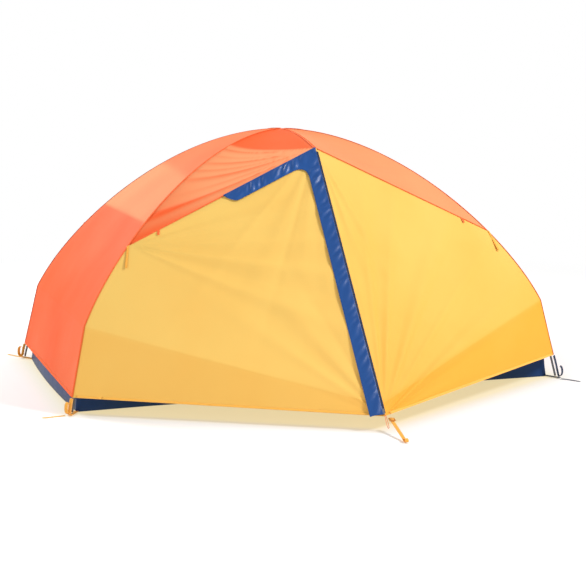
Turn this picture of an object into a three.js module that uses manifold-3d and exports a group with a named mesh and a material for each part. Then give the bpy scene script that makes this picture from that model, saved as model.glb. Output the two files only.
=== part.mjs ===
// Two-person dome tent on poles: two long poles cross corner to corner, a short pole spreads the top,
// an inner tent hangs under them and a fly with a door and a vestibule on each long side covers it.
// Millimetres, +Z up, X along the tent, the front door towards -Y; the origin is on the ground, in
// the middle.
// Front and back are one design, turned half a turn about Z.
import * as THREE from 'three';
import { mergeVertices } from 'three/addons/utils/BufferGeometryUtils.js';
import Module from 'manifold-3d';

const wasm = await Module();
wasm.setup();

// ---- Driving dimensions ----

// Frame
const feetLength = 2180; // between pole feet, along X
const feetWidth = 1206; // between pole feet, along Y
const flyHeight = 1100; // outside of the fly over the crossing
const elbowHeight = 346; // bend of the pre-bent pole above the ground
const elbowInset = 88; // bend inwards of the foot, along the diagonal
const elbowLean = THREE.MathUtils.degToRad(28.5); // of the arch, from upright, just above the bend
const elbowHandle = 348; // how far the arch keeps that lean
const crownHandle = 495; // how far the arch stays level from the crossing
const poleDiameter = 9;
const boreDiameter = 7.4;
const shockCordDiameter = 2.4;
const sectionsPerPole = 5;
const stepsPerSection = 8;
const sectionGap = 0.3; // between the ends of two sections
const ferruleDiameter = 5.8;
const collarDiameter = 8.1; // the ferrule's fixed half, pressed into its own section
const collarBore = 5;
const ferruleBore = 4;
const crossingGap = 0.5; // between poles where they cross
const tipPinDiameter = 5.2;
const tipPinLength = 12;
const tipPlugLength = 16;
const browSetback = 10; // the short pole's ends, inside the roof's edge
const tipPinLift = 1.5; // along the leg, so that the pin's leaning end clears the ground

// Fly
const sheet = 2; // thickness of every fly panel
const flyClearance = 8; // between a long pole and the fly's inside
const browClearance = 2; // between the short pole and the roof's inside
const peakReach = 450; // seam between roof and vestibule, from the middle along Y
const peakHeight = 1040; // outside of the roof at the short pole's tip
const vestibuleReach = 1250; // foot of the zip, from the middle along Y
const vestibuleHeight = 60; // foot of the zip, above the ground
const hemHeadEnd = 72; // fly hem at the -X feet, above the ground
const hemFootEnd = 105; // fly hem at the +X feet
const seamInset = 3; // each panel's edge, from the seam
const crownNeck = 14; // half width of roof that is left where the ridges meet
const crownNeckFade = 160; // how far out the roof is widened for it
const endTipWidth = 18; // top edge of an end panel
const seamSlant = 1.4; // how much longer the gap at the roof seam is along the panels' rows
const zipGap = 3; // between the zip's two sides
const hingeGap = 3; // between the door and the fixed strip beside it
const zipArm = 0.5; // share of the roof seam that the zip runs along
const hingeElbowShare = 0.16; // where the door's hinge line crosses the crease, from pole to zip
const hingeHemShare = 0.09; // where it meets the hem
const creaseLift = 0.04; // the crease ends this share of the zip above its foot

// Storm flap, zip and straps
const flapWidth = 55;
const flapStandoff = 9; // from the door's outside
const flapInset = 4; // from the roof seam and the hem
const flapEndShare = 0.01; // of the zip, left bare at either end of the flap
const sliderWidth = 10;
const sliderLength = 24;
const sliderThickness = 4;
const sliderStandoff = 2.5;
const sliderLift = 6; // lower end of the slider, above the foot of the zip
const pullLength = 58;
const pullWidth = 7;
const pullOffset = 3.6; // of the pull's middle, to the fixed side, clear of the flap's edge
const pullDiameter = 2.2;
const pullGap = 2.1; // between the slider and its pull
const webbing = 1.5; // thickness of all webbing
const strapWidth = 15;
const strapOffset = 26; // of the vestibule's strap from the zip, on the fixed side
const strapDrift = 14; // of the strap's far end, back towards the zip's line
const strapReach = 200; // how far the vestibule's strap runs out to its stake
const strapStart = { out: 3, down: 6 }; // of the strap's line, from the foot of the zip
const lockLength = 22;
const lockWidth = 24;
const lockThickness = 3;
const lockBar = 3.5;
const lockSide = 2.5;
const lockStart = 6; // from the hem
const lockPlay = 1.6; // between strap and bar, where the strap weaves through

// Inner tent
const tubLength = 2130; // floor, along X
const tubWidth = 1120; // floor, along Y
const tubHeight = 150;
const tubLean = 15; // the tub's rim, inwards of its floor
const tubWall = 3;
const canopySheet = 3;
const canopyDrop = 30; // between a long pole and the canopy's outside
const canopyPeakDrop = 50; // of the canopy's peak below the fly's, and inwards
const canopyRimGap = 1; // between the canopy and the tub's rim
const innerDoorWidth = 840;
const innerDoorSill = 185;
const innerDoorTop = 850;
const innerDoorShoulder = 560; // where the sides turn into the round head
const innerDoorGap = 3;

// Small parts
const hubRadius = 26;
const hubBase = 4; // under the lowest pole
const hubPlay = 1.8; // round each pole
const hubDrop = 1; // the hub's top, below the upper pole's top
const slotOvershoot = 5; // of the hub's slots, past its top
const clipWall = 2.5;
const clipPlay = 0.6;
const clipWidth = 12;
const clipTie = 6; // between the clip's tail and the canopy
const clipShare = 0.5; // of the way from the crossing to the bend
const cornerWebbingWidth = 20;
const cornerWebbingHeight = 4; // above the ground
const cornerWebbingEnd = 22; // past the pole foot
const grommetPlay = 1.6;
const cornerTieGap = 3;
const stakeCordDiameter = 2.5;
const guyTabWidth = 10;
const guyTabStandoff = 4;
const guyTabStart = 3; // from the ridge
const guyTabLength = 105;

// ---- Finishes ----

function finish(color, roughness, metalness = 0) {
  return new THREE.MeshStandardMaterial({ color, roughness, metalness });
}

const finishes = {
  tube: finish(0x9aa0a6, 0.35, 0.9),
  elastic: finish(0x2a2a2c, 0.9),
  hub: finish(0x26282b, 0.5),
  orange: finish(0xf26a3c, 0.6),
  yellow: finish(0xf2b950, 0.6),
  flap: finish(0x17508f, 0.65),
  floor: finish(0x1b3a70, 0.55),
  mesh: finish(0xd9d6cf, 0.8),
  headWebbing: finish(0xe9a92f, 0.8),
  footWebbing: finish(0x2a3444, 0.8),
  pull: finish(0xe88a5a, 0.8),
  buckle: finish(0xc8802a, 0.5),
};

// ---- Frame geometry ----

const poleRadius = poleDiameter / 2;
const diagonal = Math.hypot(feetLength, feetWidth) / 2;
const alongX = feetLength / 2 / diagonal;
const alongY = feetWidth / 2 / diagonal;
const flyOffset = poleRadius + flyClearance + sheet;
const browCrown = flyHeight - sheet - browClearance - poleRadius;
const upperCrown = browCrown - poleDiameter - crossingGap;
const lowerCrown = upperCrown - poleDiameter - crossingGap;

// A pole's outline in the upright plane of its diagonal, as (distance from the middle, height),
// moved outwards by offset and crossing the middle at crownZ.
function archOutline(offset, crownZ) {
  const legLean = Math.atan2(elbowInset, elbowHeight);
  const bendLean = (legLean + elbowLean) / 2;
  const shift = (x, z, lean) => new THREE.Vector2(x + offset * Math.cos(lean), z + offset * Math.sin(lean));
  const elbow = shift(diagonal - elbowInset, elbowHeight, bendLean);
  const rise = new THREE.Vector2(-Math.sin(elbowLean), Math.cos(elbowLean));
  return {
    foot: shift(diagonal, 0, legLean),
    elbow,
    elbowHandle: elbow.clone().addScaledVector(rise, elbowHandle),
    crownHandle: new THREE.Vector2(crownHandle, crownZ),
    crown: new THREE.Vector2(0, crownZ),
  };
}

// The curved part of an outline, from the crossing down to the bend.
function archOf({ crown, crownHandle: level, elbowHandle: rise, elbow }) {
  return new THREE.CubicBezierCurve(crown, level, rise, elbow);
}

// A point of a diagonal's upright plane, at the corner with the given signs of x and y.
function atCorner(point, signX, signY) {
  return new THREE.Vector3(signX * point.x * alongX, signY * point.x * alongY, point.y);
}

// A long pole's centre line, from the foot at one corner over the crossing to the opposite foot.
function longPolePath(signX, signY, crownZ) {
  const outline = archOutline(0, crownZ);
  const near = (key) => atCorner(outline[key], signX, signY);
  const far = (key) => atCorner(outline[key], -signX, -signY);
  const path = new THREE.CurvePath();
  path.add(new THREE.LineCurve3(near('foot'), near('elbow')));
  const climb = ['elbow', 'elbowHandle', 'crownHandle', 'crown'];
  path.add(new THREE.CubicBezierCurve3(...climb.map(near)));
  path.add(new THREE.CubicBezierCurve3(...climb.reverse().map(far)));
  path.add(new THREE.LineCurve3(far('elbow'), far('foot')));
  return path;
}

// Height of the roof's outside over the short pole, at a distance along Y from the middle.
function browHeight(y) {
  return flyHeight - (flyHeight - peakHeight) * (y / peakReach) ** 2;
}

// The short pole's centre line: a parabola under the roof, from the front peak to the back one.
class BrowPath extends THREE.Curve {
  getPoint(t, target = new THREE.Vector3()) {
    const reach = peakReach - sheet - browSetback;
    const y = reach * (2 * t - 1);
    return target.set(0, y, browHeight(y) - (flyHeight - browCrown));
  }
}

// A stretch of a longer path, between two shares of its length.
class Stretch extends THREE.Curve {
  constructor(whole, from, to) {
    super();
    this.whole = whole;
    this.from = from;
    this.to = to;
  }

  getPoint(t) {
    return this.whole.getPointAt(THREE.MathUtils.lerp(this.from, this.to, t));
  }
}

// ---- Solids ----

function solid(geometry) {
  const bare = geometry.index ? geometry.toNonIndexed() : geometry.clone();
  bare.deleteAttribute('normal');
  bare.deleteAttribute('uv');
  const merged = mergeVertices(bare, 1e-4);
  const mesh = new wasm.Mesh({
    numProp: 3,
    vertProperties: merged.attributes.position.array,
    triVerts: new Uint32Array(merged.index.array),
  });
  return new wasm.Manifold(mesh);
}

function geometryOf(manifold) {
  const { vertProperties, triVerts } = manifold.getMesh();
  const geometry = new THREE.BufferGeometry();
  geometry.setAttribute('position', new THREE.BufferAttribute(vertProperties, 3));
  geometry.setIndex(new THREE.BufferAttribute(triVerts, 1));
  return geometry;
}

function join(...geometries) {
  return geometryOf(geometries.map(solid).reduce((all, one) => all.add(one)));
}

function cut(geometry, ...tools) {
  return geometryOf(tools.map(solid).reduce((all, one) => all.subtract(one), solid(geometry)));
}

function polygon(radius, sides) {
  return Array.from({ length: sides }, (_, i) => {
    const angle = (2 * Math.PI * i) / sides;
    return new THREE.Vector2(radius * Math.cos(angle), radius * Math.sin(angle));
  });
}

// A tube or rod carried along a path; boreRadius 0 leaves it solid.
function tube(path, steps, radius, boreRadius = 0) {
  const section = new THREE.Shape(polygon(radius, 8));
  if (boreRadius > 0) section.holes.push(new THREE.Path(polygon(boreRadius, 6)));
  return new THREE.ExtrudeGeometry(section, { steps, extrudePath: path });
}

function cord(path, steps, radius, sides = 8) {
  return new THREE.ExtrudeGeometry(new THREE.Shape(polygon(radius, sides)), { steps, extrudePath: path });
}

// Splits the squares of a flat box's underside along the same diagonals as those of its top, so that
// the two stay apart where the box is bent.
function splitAlike(geometry) {
  const { index } = geometry;
  const under = geometry.groups[5];
  for (let k = under.start; k < under.start + under.count; k += 6) {
    const [a, b, d, c] = [0, 1, 2, 4].map((n) => index.getX(k + n));
    [a, b, c, a, c, d].forEach((corner, n) => index.setX(k + n, corner));
  }
}

// A thin sheet on a surface(u, v): u runs to the right and v upwards, seen from outside.
// A flat box of columns by rows is bent onto the surface and grows inwards from it by its thickness;
// standoff moves the whole sheet outwards.
function bentSheet(surface, columns, rows, thickness, standoff = 0) {
  const geometry = new THREE.BoxGeometry(1, 1, 1, columns, rows, 1);
  splitAlike(geometry);
  const places = geometry.attributes.position;
  const step = 1e-3;
  const across = new THREE.Vector3();
  const upwards = new THREE.Vector3();
  for (let i = 0; i < places.count; i += 1) {
    const u = places.getX(i) + 0.5;
    const v = places.getY(i) + 0.5;
    across.subVectors(surface(Math.min(u + step, 1), v), surface(Math.max(u - step, 0), v));
    upwards.subVectors(surface(u, Math.min(v + step, 1)), surface(u, Math.max(v - step, 0)));
    const normal = across.cross(upwards).normalize();
    const depth = standoff - thickness * (0.5 - places.getZ(i));
    const point = surface(u, v).addScaledVector(normal, depth);
    places.setXYZ(i, point.x, point.y, point.z);
  }
  return geometry;
}

// The surface of straight lines from one edge(v) to another, stopping short of each by its inset.
function ruled(left, right, leftInset, rightInset) {
  return (u, v) => {
    const from = left(v);
    const to = right(v);
    const length = from.distanceTo(to);
    const share = (leftInset + (length - leftInset - rightInset) * u) / length;
    return from.lerp(to, share);
  };
}

// A strip of webbing seen from its side: a line of (x, y) points thickened by the webbing's
// thickness, then pushed out to its width along Z, half on each side.
function webbingStrip(points, width) {
  const line = points.map(([x, y]) => new THREE.Vector2(x, y));
  const sides = line.map((point, i) => {
    const before = line[Math.max(i - 1, 0)];
    const after = line[Math.min(i + 1, line.length - 1)];
    const along = after.clone().sub(before).normalize();
    return new THREE.Vector2(-along.y, along.x).multiplyScalar(webbing / 2);
  });
  const left = line.map((point, i) => point.clone().add(sides[i]));
  const right = line.map((point, i) => point.clone().sub(sides[i])).reverse();
  const outline = new THREE.Shape([...left, ...right]);
  const strip = new THREE.ExtrudeGeometry(outline, { depth: width, bevelEnabled: false });
  return strip.translate(0, 0, -width / 2);
}

const tent = new THREE.Group();

function place(name, geometry, material, group = tent) {
  const mesh = new THREE.Mesh(geometry, material);
  mesh.name = name;
  group.add(mesh);
  return mesh;
}

// ---- Poles ----

// A pole's tube sections: each but the last carries a ferrule that plugs into the next one's bore.
function poleSections(path, count) {
  const gap = sectionGap / 2 / path.getLength();
  return Array.from({ length: count }, (_, i) => {
    const from = i / count + (i > 0 ? gap : 0);
    const to = (i + 1) / count - (i < count - 1 ? gap : 0);
    const body = tube(new Stretch(path, from, to), stepsPerSection, poleRadius, boreDiameter / 2);
    if (i === count - 1) return body;
    const reach = 1 / count / stepsPerSection;
    const joint = (i + 1) / count;
    const collar = tube(new Stretch(path, joint - reach, to), 1, collarDiameter / 2, collarBore / 2);
    const plugged = new Stretch(path, joint - reach, joint + reach);
    const spigot = tube(plugged, 2, ferruleDiameter / 2, ferruleBore / 2);
    return join(body, collar, spigot);
  });
}

// A leg's tip: a plug in the tube's end and a pin that stands in the corner's grommet.
function legTip(signX, signY) {
  const outline = archOutline(0, 0);
  const foot = atCorner(outline.foot, signX, signY);
  const upwards = atCorner(outline.elbow, signX, signY).sub(foot).normalize();
  const along = (distance) => foot.clone().addScaledVector(upwards, distance);
  const stretch = (from, to) => new THREE.LineCurve3(along(from), along(to));
  const pin = cord(stretch(tipPinLift, tipPinLift + tipPinLength + 2), 1, tipPinDiameter / 2);
  const plugStart = tipPinLift + tipPinLength;
  const plug = cord(stretch(plugStart, plugStart + tipPlugLength), 1, collarDiameter / 2);
  return join(pin, plug);
}

function buildLongPole(name, signX, signY, crownZ, corners) {
  const whole = longPolePath(signX, signY, crownZ);
  const cutBack = (tipPinLift + tipPinLength) / whole.getLength();
  const path = new Stretch(whole, cutBack, 1 - cutBack);
  const sections = poleSections(path, sectionsPerPole);
  const last = sections.length - 1;
  sections[0] = join(sections[0], legTip(signX, signY));
  sections[last] = join(sections[last], legTip(-signX, -signY));
  const [near, far] = corners;
  const labels = [`leg_${near}`, `arch_${near}`, 'crown', `arch_${far}`, `leg_${far}`];
  sections.forEach((geometry, i) => place(`${name}_${labels[i]}`, geometry, finishes.tube));
  const steps = sectionsPerPole * stepsPerSection;
  const inside = new Stretch(path, 1 / steps, 1 - 1 / steps);
  place(`${name}_shock_cord`, cord(inside, steps - 2, shockCordDiameter / 2, 6), finishes.elastic);
}

function buildBrowPole() {
  const path = new BrowPath();
  const [front, back] = poleSections(path, 2);
  place('brow_pole_front', front, finishes.tube);
  place('brow_pole_back', back, finishes.tube);
  const steps = 2 * stepsPerSection;
  const inside = new Stretch(path, 1 / steps, 1 - 1 / steps);
  place('brow_pole_shock_cord', cord(inside, steps - 2, shockCordDiameter / 2, 6), finishes.elastic);
}

// The crown hub: a disc with a channel for each of the two long poles, and the short pole laid over it.
function buildHub() {
  const bottom = lowerCrown - poleRadius - hubPlay - hubBase;
  const top = upperCrown + poleRadius - hubDrop;
  const disc = new THREE.CylinderGeometry(hubRadius, hubRadius, top - bottom, 24)
    .rotateX(Math.PI / 2)
    .translate(0, 0, (top + bottom) / 2);
  const turn = Math.atan2(alongY, alongX);
  const channel = (height, angle) => {
    const radius = poleRadius + hubPlay;
    const slot = new THREE.Shape()
      .absarc(0, 0, radius, Math.PI, 2 * Math.PI)
      .lineTo(radius, top - height + slotOvershoot)
      .lineTo(-radius, top - height + slotOvershoot);
    return new THREE.ExtrudeGeometry(slot, { depth: 4 * hubRadius, bevelEnabled: false, curveSegments: 6 })
      .translate(0, 0, -2 * hubRadius)
      .rotateX(Math.PI / 2)
      .rotateZ(Math.PI / 2 + angle)
      .translate(0, 0, height);
  };
  place('crown_hub', cut(disc, channel(lowerCrown, turn), channel(upperCrown, -turn)), finishes.hub);
}

// ---- Fly ----

const ridge = archOutline(flyOffset, flyHeight);
const ridgeArch = archOf(ridge);

// The share of the ridge's arch at which it is this far from the middle, by halving.
function archShareAt(radius) {
  let low = 0;
  let high = 1;
  for (let i = 0; i < 40; i += 1) {
    const middle = (low + high) / 2;
    if (ridgeArch.getPoint(middle).x < radius) low = middle;
    else high = middle;
  }
  return low;
}

const seamRadius = peakReach / alongY;
const seamShare = archShareAt(seamRadius);

// A point of the ridge's leg at a height above the ground.
function ridgeLegAt(height) {
  const share = (ridge.elbow.y - height) / (ridge.elbow.y - ridge.foot.y);
  return ridge.elbow.clone().lerp(ridge.foot, share);
}

const elbowRow = 0.3; // share of a panel's rows that lie below the bend

// A ridge from the hem (0) over the bend (elbowRow) to a share of the arch (1).
function ridgeEdge(signX, signY, hem, topShare) {
  return (v) => {
    if (v < elbowRow) return atCorner(ridgeLegAt(hem).lerp(ridge.elbow, v / elbowRow), signX, signY);
    const share = THREE.MathUtils.lerp(1, topShare, (v - elbowRow) / (1 - elbowRow));
    return atCorner(ridgeArch.getPoint(share), signX, signY);
  };
}

// Near the crossing the roof reaches this far past the ridge, so that it stays in one piece there.
function neckShift(radius) {
  return crownNeck * Math.max(0, 1 - radius / crownNeckFade);
}

const neckRadius = crownNeck / (alongY + crownNeck / crownNeckFade);

// The roof between the four ridges: straight lines along X from ridge to short pole to ridge.
function roofSurface(u, v) {
  const side = Math.sign(v - 0.5) || 1;
  const radius = THREE.MathUtils.lerp(neckRadius, seamRadius, Math.abs(2 * v - 1));
  const y = radius * alongY - neckShift(radius);
  const reach = Math.max(y - seamInset * Math.abs(2 * v - 1), 0);
  const edge = ridgeArch.getPoint(archShareAt(radius));
  const half = radius * alongX - seamInset;
  const across = 2 * u - 1;
  const height = THREE.MathUtils.lerp(browHeight(reach), edge.y, Math.abs(across));
  return new THREE.Vector3(half * across, side * reach, height);
}

// The end panel between two ridges, straight across; signX picks the end.
function endSurface(signX, hem) {
  const topRadius = (crownNeck + endTipWidth / 2 + seamInset) / (alongY + crownNeck / crownNeckFade);
  const topShare = archShareAt(topRadius);
  const edge = ridgeEdge(1, 1, hem, topShare);
  return (u, v) => {
    const point = edge(v);
    const radius = point.y / alongY;
    const half = point.y - neckShift(radius) - seamInset;
    return new THREE.Vector3(signX * point.x, -signX * half * (1 - 2 * u), point.z);
  };
}

const peak = new THREE.Vector3(0, -peakReach, peakHeight);
const zipFoot = new THREE.Vector3(0, -vestibuleReach, vestibuleHeight);

// The zip's straight line from the vestibule's foot (0) to the peak (1); rows below the bend stay at
// its foot, so that a crease runs from there to each pole's bend.
function zipEdge(v) {
  const above = Math.max(0, (v - elbowRow) / (1 - elbowRow));
  const share = v < elbowRow ? creaseLift * (v / elbowRow) : creaseLift + (1 - creaseLift) * above;
  return zipFoot.clone().lerp(peak, share);
}

// Points of the front door's hinge line: on the roof seam, on the crease and on the hem.
function hingePoints(doorHem) {
  const pole = ridgeEdge(-1, -1, doorHem, seamShare);
  const mix = (v, share) => pole(v).lerp(zipEdge(v), share);
  return { top: mix(1, 1 - zipArm), crease: mix(elbowRow, hingeElbowShare), hem: mix(0, hingeHemShare) };
}

function hingeEdge(doorHem) {
  const { top, crease, hem } = hingePoints(doorHem);
  return (v) => {
    if (v < elbowRow) return hem.clone().lerp(crease, v / elbowRow);
    return crease.clone().lerp(top, (v - elbowRow) / (1 - elbowRow));
  };
}

// A surface whose top row stops short of the roof seam.
function belowSeam(surface) {
  const top = 1 - (seamInset / peak.distanceTo(zipFoot)) * seamSlant;
  return (u, v) => surface(u, v * top);
}

// The storm flap covers the zip: one arm up its straight run, one along the roof seam.
function flapGeometry(door) {
  const inward = (from, to, distance) => from.clone().lerp(to, distance / from.distanceTo(to));
  const upright = (u, v) => {
    const row = THREE.MathUtils.lerp(flapEndShare, 1 - flapEndShare, v);
    return inward(door(1, row), door(0, row), flapWidth * (1 - u));
  };
  const arm = (u, v) => {
    const across = u * 0.995; // ends inside the upright strip
    return inward(door(across, 0.996), door(across, elbowRow), flapInset + flapWidth * (1 - v));
  };
  const standoff = flapStandoff + sheet;
  return join(bentSheet(upright, 1, 10, sheet, standoff), bentSheet(arm, 6, 1, sheet, standoff));
}

// Axes of the zip: right, upwards along it and out of the fabric.
const zipUp = peak.clone().sub(zipFoot).normalize();
const zipOut = new THREE.Vector3(1, 0, 0).cross(zipUp);
const zipFrame = new THREE.Matrix4().makeBasis(new THREE.Vector3(1, 0, 0), zipUp, zipOut);
zipFrame.setPosition(zipFoot);

function sliderGeometry() {
  const half = sliderWidth / 2;
  const nose = half * 0.6;
  const shoulder = sliderLength * 0.7;
  const outline = new THREE.Shape()
    .moveTo(-nose, 0)
    .lineTo(nose, 0)
    .lineTo(half, shoulder)
    .lineTo(nose, sliderLength)
    .lineTo(-nose, sliderLength)
    .lineTo(-half, shoulder);
  return new THREE.ExtrudeGeometry(outline, { depth: sliderThickness, bevelEnabled: false })
    .translate(0, sliderLift, sliderStandoff)
    .applyMatrix4(zipFrame);
}

// The pull is a loop of thin cord: both ends at the slider, its round end hanging down the zip's line.
function pullGeometry() {
  const height = sliderStandoff + sliderThickness / 2;
  const top = sliderLift - pullGap;
  const half = pullWidth / 2;
  const route = [
    [-half * 0.4, 0],
    [-half * 0.9, 0.35],
    [-half, 0.7],
    [-half * 0.7, 0.93],
    [0, 1],
    [half * 0.7, 0.93],
    [half, 0.7],
    [half * 0.9, 0.35],
    [half * 0.4, 0],
  ];
  const onLoop = ([x, share]) => new THREE.Vector3(pullOffset + x, top - share * pullLength, height);
  const points = route.map(onLoop);
  return cord(new THREE.CatmullRomCurve3(points), 12, pullDiameter / 2).applyMatrix4(zipFrame);
}

// The vestibule's strap, seen from its side: along it from the hem, and above its line.
// It weaves under, over and under the ladder-lock's three bars and ends in a loop for the stake.
function stakeStrapGeometry() {
  const low = -(lockThickness / 2 + lockPlay);
  const high = -low;
  const pitch = (lockLength - lockBar) / 2;
  const first = lockStart + lockBar / 2;
  const points = [
    [-4, low],
    [first + 2.5, low],
    [first + pitch - 3.2, high - 0.8],
    [first + pitch, high],
    [first + pitch + 3.2, high - 0.8],
    [first + 2 * pitch - 2.5, low],
    [strapReach - 26, low],
    [strapReach - 12, low + 0.5],
    [strapReach - 3, low + 3],
    [strapReach, low + 7.5],
    [strapReach - 4, low + 12],
    [strapReach - 13, low + 12.5],
    [strapReach - 24, low + 7],
    [strapReach - 32, low + 2.4],
  ];
  return webbingStrip(points, strapWidth);
}

// A plate with two slots: three bars across, joined by its sides.
function ladderLockGeometry() {
  const slot = (lockLength - 3 * lockBar) / 2;
  const slots = [0, 1].map((i) =>
    new THREE.BoxGeometry(slot, 2 * lockThickness, lockWidth - 2 * lockSide).translate(
      lockStart + lockBar + slot / 2 + i * (slot + lockBar),
      0,
      0,
    ),
  );
  const plate = new THREE.BoxGeometry(lockLength, lockThickness, lockWidth);
  return cut(plate.translate(lockStart + lockLength / 2, 0, 0), ...slots);
}

// The strap's line runs straight from the hem, beside the zip's foot, to the ground.
function strapFrame() {
  const start = new THREE.Vector3(strapOffset, zipFoot.y - strapStart.out, zipFoot.z - strapStart.down);
  const drop = start.z - lockThickness / 2 - lockPlay - 1.5;
  const level = Math.sqrt(strapReach ** 2 - drop ** 2 - strapDrift ** 2);
  const along = new THREE.Vector3(-strapDrift, -level, -drop).normalize();
  const side = new THREE.Vector3(0, 0, 1).cross(along).normalize();
  const above = along.clone().cross(side);
  return new THREE.Matrix4().makeBasis(along, above, side.negate()).setPosition(start);
}

function buildSide(label, turn, doorHem, fixedHem) {
  const side = new THREE.Group();
  side.rotation.z = turn;
  tent.add(side);
  const doorPole = ridgeEdge(-1, -1, doorHem, seamShare);
  const fixedPole = ridgeEdge(1, -1, fixedHem, seamShare);
  const hinge = hingeEdge(doorHem);
  const strip = belowSeam(ruled(doorPole, hinge, seamInset, hingeGap / 2));
  const door = belowSeam(ruled(hinge, zipEdge, hingeGap / 2, zipGap / 2));
  const fixed = belowSeam(ruled(zipEdge, fixedPole, zipGap / 2, seamInset));
  place(`vestibule_side_${label}`, bentSheet(strip, 2, 10, sheet), finishes.yellow, side);
  place(`vestibule_door_${label}`, bentSheet(door, 4, 10, sheet), finishes.yellow, side);
  place(`vestibule_${label}`, bentSheet(fixed, 4, 10, sheet), finishes.yellow, side);
  place(`storm_flap_${label}`, flapGeometry(door), finishes.flap, side);
  place(`zip_slider_${label}`, sliderGeometry(), finishes.hub, side);
  place(`zip_pull_${label}`, pullGeometry(), finishes.pull, side);
  place(`stake_strap_${label}`, stakeStrapGeometry().applyMatrix4(strapFrame()), finishes.headWebbing, side);
  place(`ladder_lock_${label}`, ladderLockGeometry().applyMatrix4(strapFrame()), finishes.buckle, side);
}

// ---- Inner tent ----

const tubRim = { x: tubLength / 2 - tubLean, y: tubWidth / 2 - tubLean };

// A box whose top is narrower than its bottom, standing on z = bottom.
function taperedBox(bottomX, bottomY, topX, topY, bottom, height) {
  const geometry = new THREE.BoxGeometry(2, 2, 1);
  const places = geometry.attributes.position;
  for (let i = 0; i < places.count; i += 1) {
    const high = places.getZ(i) > 0;
    const x = places.getX(i) * (high ? topX : bottomX);
    const y = places.getY(i) * (high ? topY : bottomY);
    places.setXYZ(i, x, y, high ? bottom + height : bottom);
  }
  return geometry;
}

function buildTub() {
  const shape = (inset) => {
    const [x, y] = [tubLength / 2 - inset, tubWidth / 2 - inset];
    return taperedBox(x, y, tubRim.x - inset, tubRim.y - inset, inset, tubHeight);
  };
  place('floor_tub', cut(shape(0), shape(tubWall)), finishes.floor);
}

// The canopy's outside, inset by a wall: rings of six points that climb from the tub's rim along the
// four pole lines and the two door middles, closing at the crown.
function canopyDome(inset, bottom) {
  const drop = poleRadius + canopyDrop + inset;
  const outline = archOutline(-drop, lowerCrown - drop);
  const arch = archOf(outline);
  const rimCorner = new THREE.Vector3(tubRim.x - inset, tubRim.y - inset, bottom);
  const rimMiddle = new THREE.Vector3(0, tubRim.y - inset, bottom);
  const top = new THREE.Vector3(0, 0, outline.crown.y);
  const peakY = peakReach - canopyPeakDrop / 2 - inset;
  const middlePeak = new THREE.Vector3(0, peakY, peakHeight - canopyPeakDrop - inset);
  const rows = 10;
  const peakRow = 6;
  const corner = (row) => {
    if (row === 0) return rimCorner;
    return atCorner(arch.getPoint(1 - (row - 1) / (rows - 1)), 1, 1);
  };
  const middle = (row) => {
    if (row <= peakRow) return rimMiddle.clone().lerp(middlePeak, row / peakRow);
    return middlePeak.clone().lerp(top, (row - peakRow) / (rows - peakRow));
  };
  const turned = (point, signX, signY) => new THREE.Vector3(signX * point.x, signY * point.y, point.z);
  const geometry = new THREE.CylinderGeometry(1, 1, rows, 6, rows).rotateX(Math.PI / 2);
  const places = geometry.attributes.position;
  for (let i = 0; i < places.count; i += 1) {
    const row = Math.round(places.getZ(i) + rows / 2);
    const atAxis = Math.hypot(places.getX(i), places.getY(i)) < 0.5;
    const signX = Math.abs(places.getX(i)) < 0.1 ? 0 : Math.sign(places.getX(i));
    const line = signX === 0 ? middle : corner;
    const onAxis = new THREE.Vector3(0, 0, row === 0 ? bottom : top.z);
    const point = atAxis ? onAxis : turned(line(row), signX, Math.sign(places.getY(i)));
    places.setXYZ(i, point.x, point.y, point.z);
  }
  return geometry;
}

// The inner door's outline: straight sides and a round head, seen along Y.
function innerDoorPrism(inset) {
  const half = innerDoorWidth / 2 - inset;
  const sill = innerDoorSill + inset;
  const head = innerDoorTop - inset;
  const outline = new THREE.Shape()
    .moveTo(-half, sill)
    .lineTo(half, sill)
    .lineTo(half, innerDoorShoulder)
    .quadraticCurveTo(half, head, 0, head)
    .quadraticCurveTo(-half, head, -half, innerDoorShoulder);
  const options = { depth: tubWidth, bevelEnabled: false, curveSegments: 6 };
  return new THREE.ExtrudeGeometry(outline, options).rotateX(Math.PI / 2);
}

function buildInnerTent() {
  buildTub();
  const rim = tubHeight + canopyRimGap;
  const shell = solid(canopyDome(0, rim)).subtract(solid(canopyDome(canopySheet, rim - 1)));
  const front = solid(innerDoorPrism(0));
  const back = solid(innerDoorPrism(0).rotateZ(Math.PI));
  place('inner_canopy', geometryOf(shell.subtract(front).subtract(back)), finishes.mesh);
  const frontDoor = shell.intersect(solid(innerDoorPrism(innerDoorGap)));
  const backDoor = shell.intersect(solid(innerDoorPrism(innerDoorGap).rotateZ(Math.PI)));
  place('inner_door_front', geometryOf(frontDoor), finishes.mesh);
  place('inner_door_back', geometryOf(backDoor), finishes.mesh);
}

// ---- Corners, clips and guy-outs ----

const headEnd = { signX: -1, hem: hemHeadEnd, webbing: finishes.headWebbing };
const footEnd = { signX: 1, hem: hemFootEnd, webbing: finishes.footWebbing };
const corners = [
  { ...headEnd, label: 'front_left', signY: -1, crownZ: lowerCrown },
  { ...footEnd, label: 'back_right', signY: 1, crownZ: lowerCrown },
  { ...footEnd, label: 'front_right', signY: -1, crownZ: upperCrown },
  { ...headEnd, label: 'back_left', signY: 1, crownZ: upperCrown },
];

// Places what is drawn in a diagonal's upright plane, (distance from the middle, height), at a corner.
function cornerFrame({ signX, signY }) {
  const outwards = new THREE.Vector3(signX * alongX, signY * alongY, 0);
  const up = new THREE.Vector3(0, 0, 1);
  return new THREE.Matrix4().makeBasis(outwards, up, outwards.clone().cross(up));
}

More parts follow.
